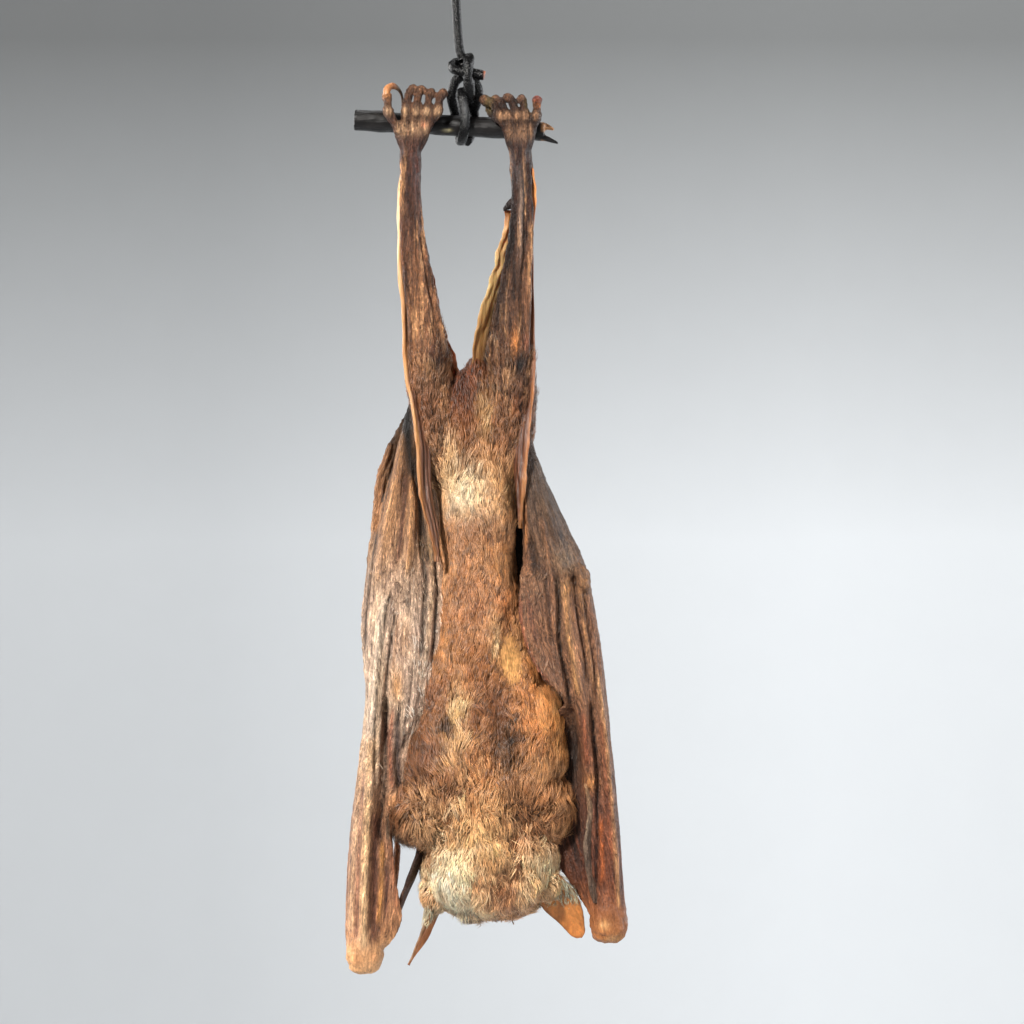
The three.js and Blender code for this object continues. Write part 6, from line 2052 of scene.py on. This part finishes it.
def coat_depth(points):
    """The length of the coat's tufts in mm, the share of them that grow, and how far they stand up."""
    x, y, z = points.T
    stops = np.array([
        (-284, 6.4), (-268, 7.4), (-255, 8.2), (-244, 8.2), (-225, 7.3), (-205, 6.8), (-188, 6.2),
        (-165, 6.0), (-130, 5.6), (-112, 5.0), (-96, 4.6), (-84, 4.6), (-60, 3.0),
    ])
    length = np.interp(z, stops[:, 0], stops[:, 1])
    stand = np.interp(z, [-284, -256, -240, -205, -180, -130, -60], [0.5, 0.5, 0.4, 0.28, 0.22, 0.18, 0.22])
    stand = stand + 0.3 * bell(points, (-0.7, 0, -84), (9, 12, 5))
    head = step(-z, 244, 250)
    length = length * (1 - 0.8 * np.minimum(1, 1.6 * bell(points, BARE_PATCH, (6.5, 12, 13))))
    for side in SIDES:
        length = length * (1 - 0.5 * bell(points, EAR_ROOTS[side], (7, 8, 6)))
    muzzle = step(y, 8, 34) * head
    length = length * (1 - muzzle) + 1.3 * muzzle
    stand = stand * (1 - muzzle) + 0.2 * muzzle
    share = np.ones_like(x)
    share *= 1 - 0.985 * np.minimum(1, 2.4 * bell(points, BARE_PATCH, (4.4, 10, 9.5)))
    nose = bell(points, (9, 53, -272), (5.5, 5, 6))
    share *= 1 - np.minimum(1, 1.6 * nose)
    for side in SIDES:
        eye = np.array(EYES[side]) + unit(np.array(GAZE[side])) * 3.4
        share *= 1 - np.minimum(1, 1.8 * bell(points, eye, (5.0, 5.0, 4.4)))
    return length, share, stand


def roots_on(obj, count, weight, rng):
    """Places on the skin, chosen by area and weight, with the skin's normal at each."""
    mesh = obj.data
    mesh.calc_loop_triangles()
    corners = np.zeros(len(mesh.loop_triangles) * 3, np.int32)
    mesh.loop_triangles.foreach_get("vertices", corners)
    corners = corners.reshape(-1, 3)
    points, normals = points_of(obj), normals_of(obj)
    a, b, c = points[corners[:, 0]], points[corners[:, 1]], points[corners[:, 2]]
    middle = (a + b + c) / 3
    facing = unit(normals[corners].sum(axis=1))
    area = np.linalg.norm(np.cross(b - a, c - a), axis=1) / 2
    share = area * weight(middle, facing)
    total = share.sum()
    if total <= 0:
        raise RuntimeError(f"no coat can grow on {obj.name}")
    pick = rng.choice(len(corners), size=count, p=share / total)
    r, s = np.sqrt(rng.random(count)), rng.random(count)
    spot = a[pick] * (1 - r)[:, None] + b[pick] * (r * (1 - s))[:, None] + c[pick] * (r * s)[:, None]
    return spot, facing[pick]


def lock_leaders(roots, every, rng):
    """For each tuft, the one whose lock it belongs to."""
    leaders = rng.choice(len(roots), size=max(1, len(roots) // every), replace=False)
    tree = KDTree(len(leaders))
    for order, index in enumerate(leaders):
        tree.insert(roots[index], order)
    tree.balance()
    return leaders[np.array([tree.find(p)[1] for p in roots])]


# Where a tuft's rings stand along it, and its width there as a share of its root's.
CURVED_RINGS = ((0.0, 0.8), (0.5, 0.9))
STRAIGHT_RINGS = ((0.0, 0.9), (0.5, 0.8))
SOFTNESS = 0.5  # how far a tuft takes its light from the skin under it
# The darker root is partly the hair's own darker base and partly painted shade under the tufts over it.
ROOT_TONE, TIP_TONE = 0.42, 1.5  # a tuft's brightness at its root and at its tip
TUFT_TONE = 0.24  # how much one tuft differs from the next in brightness
LOCK_TONE = 0.26  # the same for locks


def tufts(name, roots, normals, lie, length, stand, width, colour, rng, curved=False, unwrap=None):
    """Thin solid tufts in one mesh, each three-sided and tapering to a point, with its own patch on a map."""
    count = len(roots)
    side = unit(np.cross(normals, lie))
    lead = lock_leaders(roots, 12, rng)
    bend = rng.normal(0, 0.16, count) + rng.normal(0, 0.2, count)[lead]
    twist = (rng.normal(0, 0.05, count) + rng.normal(0, 0.1, count)[lead]) * (1 if curved else 0.4)
    rise = length * stand * (0.75 + 0.5 * rng.random(count))
    tips = roots + lie * length[:, None] + side * (bend * length)[:, None] + normals * (rise * 0.62)[:, None]
    tips = tips + (tips[lead] - tips) * (0.4 * (0.5 + rng.random(count)))[:, None]
    run = tips - roots
    rings = CURVED_RINGS if curved else STRAIGHT_RINGS
    points = []
    for place, share in rings:
        arch = normals * (rise * 1.15 * place * (1 - place) * 1.6)[:, None]
        curl = side * (twist * length * math.sin(math.pi * place))[:, None]
        middle = roots + run * place + arch + curl - normals * (0.25 if place == 0 else 0)
        half = side * (width * share / 2)[:, None]
        ridge = normals * (width * share * 0.42)[:, None]
        points += [middle - half, middle + half, middle + ridge]
    points.append(tips)
    per = len(points)
    co = np.stack(points, axis=1).reshape(-1, 3)
    base = (np.arange(count) * per)[:, None, None]
    quads, tris = [], [[0, 2, 1]]
    for k in range(len(rings) - 1):
        for a, b in ((0, 1), (1, 2), (2, 0)):
            quads.append([3 * k + a, 3 * k + b, 3 * k + 3 + b, 3 * k + 3 + a])
    top = 3 * (len(rings) - 1)
    tris += [[top, top + 1, per - 1], [top + 1, top + 2, per - 1], [top + 2, top, per - 1]]
    loops = np.concatenate([(base + np.array(faces)).reshape(count, -1) for faces in (quads, tris)], axis=1)
    sizes = np.array([4] * len(quads) + [3] * len(tris))
    starts = ((np.cumsum(sizes) - sizes)[None, :] + np.arange(count)[:, None] * sizes.sum()).ravel()
    mesh = bpy.data.meshes.new(name)
    mesh.vertices.add(len(co))
    mesh.vertices.foreach_set("co", ((co + TWIG_MIDDLE) * MM).astype(np.float32).ravel())
    mesh.loops.add(loops.size)
    mesh.loops.foreach_set("vertex_index", loops.ravel().astype(np.int32))
    mesh.polygons.add(len(starts))
    mesh.polygons.foreach_set("loop_start", starts.astype(np.int32))
    mesh.update(calc_edges=True)
    mesh.polygons.foreach_set("use_smooth", np.ones(len(starts), bool))
    obj = object_of(name, mesh)
    facing = np.zeros(len(co) * 3, np.float32)
    mesh.vertex_normals.foreach_get("vector", facing)
    skin = np.repeat(normals, per, axis=0)
    blend = unit(facing.reshape(-1, 3) * (1 - SOFTNESS) + skin * SOFTNESS)
    mesh.normals_split_custom_set_from_vertices(blend.tolist())
    # Painted shade in part: each tuft is darker at its root, under the tufts over it.
    shade = np.array([ROOT_TONE] * 3 + [1.0] * (per - 4) + [TIP_TONE])
    vary = 1 + TUFT_TONE * rng.normal(0, 1, count) + LOCK_TONE * rng.normal(0, 1, count)[lead]
    tint = colour[:, None, :] * shade[None, :, None] * np.clip(vary, 0.4, 1.7)[:, None, None]
    warm = (rng.random(count) - 0.5)[lead][:, None, None] * np.array([0.16, 0.0, -0.2])
    tint = tint * (1 + warm)
    tint = np.clip(tint / np.maximum(1, tint.max(axis=-1, keepdims=True)) ** 0.6, 0, 1)
    store(obj, "tint", tint.reshape(-1, 3))
    u0, v0 = (around_body if unwrap is None else unwrap)(roots)
    place = np.concatenate([np.repeat([r[0] for r in rings], 3), [1.0]])
    across = np.concatenate([np.tile([0.0, 1.0, 0.5], len(rings)), [0.5]])
    u = (u0[:, None] + PATCH * across[None, :]).ravel()
    v = (v0[:, None] + PATCH * place[None, :]).ravel()
    layer = mesh.uv_layers.new(name="OFBake")
    flat = loops.ravel()
    layer.uv.foreach_set("vector", np.stack([u[flat], v[flat]], axis=-1).astype(np.float32).ravel())
    return obj


PATCH = 0.003  # the width of one tuft on its map


def spread_out(values):
    low, high = values.min(), values.max()
    return (values - low) / max(high - low, 1e-6) * (1 - PATCH)


def around_body(points):
    """The body's skin unrolled: round its long axis, and along it."""
    middle = np.interp(points[:, 2], [-250, -200, -90], [8.5, 8, 3])
    return spread_out(np.arctan2(points[:, 0] - middle, -points[:, 1])), spread_out(points[:, 2])


def around_head(points):
    """The head's skin unrolled: round the line from nape to nose, and along it."""
    return spread_out(np.arctan2(points[:, 0] - 9, -(points[:, 2] + 267))), spread_out(points[:, 1])


def within(value, low, high, soft=1.0):
    return step(value, low - soft, low + soft) * (1 - step(value, high - soft, high + soft))


def coat_pieces():
    """Name, tufts, their width in mm, whether they curve, how the skin unrolls, and where they grow."""

    def band(p, low, high):
        return within(p[:, 2], low, high)

    def back(p):
        return 1 - step(p[:, 1], 1.0, 3.0)

    def left(p):
        return 1 - step(p[:, 0], 7.0, 8.0)

    def shoulders(p):
        return band(p, -246, -203) * back(p)

    def nape(p):
        return (1 - step(p[:, 2], -247, -245)) * (1 - step(p[:, 1], 3, 5))

    def head(p):
        return (1 - step(p[:, 2], -247, -245)) * step(p[:, 1], 3, 5)

    return [
        ("coat_rump", 10500, 0.27, False, around_body, lambda p: band(p, -128, -70)),
        ("coat_lower_back", 14500, 0.285, False, around_body, lambda p: band(p, -168, -128) * back(p)),
        ("coat_mid_back", 15500, 0.295, False, around_body, lambda p: band(p, -203, -168) * back(p)),
        ("coat_shoulder_left", 14000, 0.305, False, around_body, lambda p: shoulders(p) * left(p)),
        ("coat_shoulder_right", 14000, 0.305, False, around_body, lambda p: shoulders(p) * (1 - left(p))),
        ("coat_nape_left", 11200, 0.28, True, around_body, lambda p: nape(p) * left(p)),
        ("coat_nape_right", 11200, 0.28, True, around_body, lambda p: nape(p) * (1 - left(p))),
        ("coat_head", 10500, 0.43, False, around_head, head),
        ("coat_belly", 9500, 0.56, False, around_body, lambda p: band(p, -188, -124) * (1 - back(p))),
        ("coat_chest", 10000, 0.57, False, around_body, lambda p: band(p, -247, -188) * (1 - back(p))),
    ]


COAT_SEED, FUZZ_SEEDS = 100, {"left": 200, "right": 201}


class BAT_OT_coat(bpy.types.Operator):
    """Grow the coat as thin solid tufts that follow its lie"""

    bl_idname = "bat.coat"
    bl_label = "Coat"

    def execute(self, context):
        coat = context.scene.bat_coat
        share = coat.density / USUAL_DENSITY * 1.0
        body = bpy.data.objects["body_skin"]
        for order, (name, count, width, curved, unwrap, where) in enumerate(coat_pieces()):
            rng = np.random.default_rng(COAT_SEED + order)

            def weight(points, _, where=where):
                return where(points) * coat_depth(points)[1]

            roots, normals = roots_on(body, int(count * share), weight, rng)
            length, _, stand = coat_depth(roots)
            length = length * coat.length * (0.7 + 0.5 * rng.random(len(roots)))
            thick = width * (0.75 + 0.5 * rng.random(len(roots))) / math.sqrt(share)
            lie, colour = lie_of(roots, normals), coat_tint(roots)
            piece = tufts(name, roots, normals, lie, length, stand, thick, colour, rng, curved, unwrap)
            finished(piece, material("coat"), "fur")
        for side in SIDES:
            self.fuzz(side, share)
        return {"FINISHED"}

    def fuzz(self, side, share):
        """Thin short hair over the thigh and knee, on the arm beside the back, and at the ear's root."""
        rng = np.random.default_rng(FUZZ_SEEDS[side])
        inner = {"left": -15, "right": 27}[side]
        pale = {"left": linear(206, 190, 156), "right": linear(176, 168, 140)}[side]
        low = EARS[side]["rows"][3][2]

        def on_thigh(p, _):
            near_tail = 0.5 * bell(p, (3, -4, -80), (12, 8, 12))
            return (step(-p[:, 2], 68, 104) ** 2 + near_tail) * (1 - step(p[:, 1], -2, 4))

        def thigh_colour(p):
            mix = step(-p[:, 2], 78, 104)[:, None]
            return leg_tint(p, side) * (1.1 - 0.9 * mix) + coat_tint(p) * mix * 0.9

        def beside_back(p, _):
            near = np.exp(-(((p[:, 0] - inner) / 9) ** 2))
            return near * (1 - step(p[:, 1], -4, 4)) * within(p[:, 2], -238, -150, 8)

        def ear_base(p, _):
            return step(p[:, 2], low, low + 9) * (1 - step(p[:, 1], 4, 9))

        for name, skin, count, where, heading, length, stand, width, colour in (
            ("leg", "leg_skin", 3800, on_thigh, (0.15, 9, 95, 1),
             lambda p, vary: (2.6 + 1.6 * step(-p[:, 2], 66, 84)) * vary, 0.3, 0.24, thigh_colour),
            ("arm", "wing_skin", 1500, beside_back, (0.25, 7, 96, -1),
             lambda p, vary: 2.2 * vary, 0.2, 0.26, lambda p: wing_tint(p, side) * 1.15),
            ("ear", "ear_blade", 900, ear_base, (0.2, 3, 97, -1),
             lambda p, vary: 1.0 + 2.6 * step(p[:, 2], low, low + 12) * vary, 0.34, 0.24,
             lambda p: np.repeat(pale[None, :], len(p), axis=0)),
        ):
            obj = bpy.data.objects[f"{skin}_{side}"]
            roots, normals = roots_on(obj, int(count * share), where, rng)
            every = np.ones(len(roots))
            waver, size, seed, upwards = heading
            lie = np.stack([waver * noise(roots, size, seed), 0 * every, upwards * every], axis=-1)
            tall = length(roots, 0.7 + 0.6 * rng.random(len(roots)))
            piece = tufts(
                f"coat_{name}_{side}", roots, normals, laid(lie, normals), tall, stand * every, width * every,
                colour(roots), rng,
            )
            finished(piece, material("coat"), "fur")


# ---------------------------------------------------------------- wall fitting


FITTING = {
    "wall_plate": "black_iron",
    "wall_peg": "black_iron",
    "wall_screw_upper": "brass",
    "wall_screw_lower": "brass",
}


class BAT_OT_fitting(bpy.types.Operator):
    """Finish the wall plate, its peg and its screws"""

    bl_idname = "bat.fitting"
    bl_label = "Wall Fitting"

    def execute(self, context):
        for node, name in FITTING.items():
            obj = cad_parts[node]
            obj.data.materials.clear()
            obj.data.materials.append(material(name))
        return {"FINISHED"}


# ---------------------------------------------------------------- stage


class BAT_OT_stage(bpy.types.Operator):
    """Set the floor and backdrop, the lights and the camera"""

    bl_idname = "bat.stage"
    bl_label = "Stage"

    def execute(self, context):
        stage = context.scene.bat_stage
        camera_data = bpy.data.cameras.new("camera")
        camera_data.lens = stage.lens
        camera_data.sensor_width = 36
        camera_data.clip_start, camera_data.clip_end = 0.01, 50
        camera = bpy.data.objects.new("camera", camera_data)
        camera.location = (0.0225, -0.072 - stage.distance, -0.2178)
        camera.rotation_euler = (math.radians(90), 0, 0)
        context.scene.collection.objects.link(camera)
        context.scene.camera = camera
        backdrop()
        target = Vector((0.012, -0.072, -0.24))
        light("key", target, (-0.8, -1.5, 0.95), 0.2, 60, (1.0, 0.97, 0.92))
        light("fill", target, (1.5, -1.4, 0.1), 1.2, 9, (0.95, 0.97, 1.0))
        light("rim_left", target, (-1.2, 0.3, 0.25), 0.5, 10, (1.0, 1.0, 1.0))
        light("rim_right", target, (1.2, 0.4, 0.3), 0.5, 8, (0.95, 0.97, 1.0))
        light("back_left", target, (-1.3, 1.5, 0.5), 0.8, 12, (1.0, 0.99, 0.97))
        light("back_right", target, (1.5, 1.3, 0.2), 0.8, 8, (0.97, 0.98, 1.0))
        light("wall_wash", Vector((0, 2.5, -0.3)), (0, -1.1, 2.2), 1.0, 20, (1.0, 1.0, 1.0))
        world = bpy.data.worlds.new("studio")
        context.scene.world = world
        world.use_nodes = True
        world.node_tree.nodes["Background"].inputs[0].default_value = (1.0, 0.98, 0.955, 1)
        world.node_tree.nodes["Background"].inputs[1].default_value = 0.25
        view = context.scene.view_settings
        view.view_transform = "Standard"
        view.look = "None"
        return {"FINISHED"}


def light(name, target, offset, size, power, colour):
    data = bpy.data.lights.new(name, "AREA")
    data.shape, data.size, data.energy, data.color = "DISK", size, power, colour
    lamp = bpy.data.objects.new(name, data)
    lamp.location = target + Vector(offset)
    lamp.rotation_euler = (-Vector(offset)).to_track_quat("-Z", "Y").to_euler()
    bpy.context.scene.collection.objects.link(lamp)


def backdrop():
    """A pale floor that sweeps up into a wall well behind the bat, with painted light falloff: darker towards
    the top and lighter towards the right.
    """
    turn = np.linspace(0, math.pi / 2, 24)
    depth, floor, bend = 2.5, -1.8, 0.6
    curve = [(depth - bend + bend * math.sin(t), floor + bend - bend * math.cos(t)) for t in turn]
    profile = [(-9.0, floor), *curve, (depth, 3.0)]
    points = [(x, y, z) for x in (-9.0, 9.0) for y, z in profile]
    count = len(profile)
    faces = [(i, i + count, i + count + 1, i + 1) for i in range(count - 1)]
    mesh = bpy.data.meshes.new("backdrop")
    mesh.from_pydata(points, [], faces)
    sweep = object_of("backdrop", mesh)
    only(sweep)
    bpy.ops.object.shade_smooth()
    f = Finish("pale_paper", Roughness=0.9)
    place = f.add("ShaderNodeSeparateXYZ", {"Vector": f.place((1, 1, 1))}).outputs
    paper = f.mixed(f.noise(f.place((20, 20, 20)), 1.0, 2.0), (0.97, 0.97, 0.97), (1.0, 1.0, 1.0))
    # Painted light falloff: the paper is darker towards the top, and lighter towards the right.
    low, high = tuple(linear(218, 222, 226)), tuple(linear(124, 126, 127))
    shade = f.mixed(f.ranged(place["Z"], -0.245, 0.215), low, high)
    painted_light_right = f.mixed(f.ranged(place["X"], -0.25, 0.3), (0.98, 0.98, 0.98), (1.34, 1.34, 1.34))
    shade = f.mixed(1.0, shade, painted_light_right, "MULTIPLY")
    sweep.data.materials.append(f.feed(Base_Color=f.mixed(1.0, shade, paper, "MULTIPLY")))


# ---------------------------------------------------------------- panel and order of work

PIECES = (
    BAT_OT_stage,
    BAT_OT_cord,
    BAT_OT_twig,
    BAT_OT_fitting,
    BAT_OT_legs,
    BAT_OT_claws,
    BAT_OT_edge_folds,
    BAT_OT_body,
    BAT_OT_ears,
    BAT_OT_wings,
    BAT_OT_coat,
)


class BAT_PT_panel(bpy.types.Panel):
    """Fruit bat settings and steps"""

    bl_idname = "BAT_PT_panel"
    bl_label = "Fruit Bat"
    bl_space_type = "VIEW_3D"
    bl_region_type = "UI"
    bl_category = "Fruit Bat"

    def draw(self, context):
        for group in settings():
            for name in group.bl_rna.properties.keys():
                if name not in ("rna_type", "name"):
                    self.layout.prop(group, name)
        for operator in PIECES:
            self.layout.operator(operator.bl_idname)


CLASSES = (BAT_PG_skin, BAT_PG_coat, BAT_PG_stage, *PIECES, BAT_PT_panel)


def register():
    for each in CLASSES:
        bpy.utils.register_class(each)
    bpy.types.Scene.bat_skin = bpy.props.PointerProperty(type=BAT_PG_skin)
    bpy.types.Scene.bat_coat = bpy.props.PointerProperty(type=BAT_PG_coat)
    bpy.types.Scene.bat_stage = bpy.props.PointerProperty(type=BAT_PG_stage)


def unregister():
    del bpy.types.Scene.bat_skin
    del bpy.types.Scene.bat_coat
    del bpy.types.Scene.bat_stage
    for each in reversed(CLASSES):
        bpy.utils.unregister_class(each)


def main():
    register()
    bpy.ops.object.select_all(action="DESELECT")
    for operator in PIECES:
        group, name = operator.bl_idname.split(".")
        getattr(getattr(bpy.ops, group), name)()


if __name__ == "__main__":
    main()
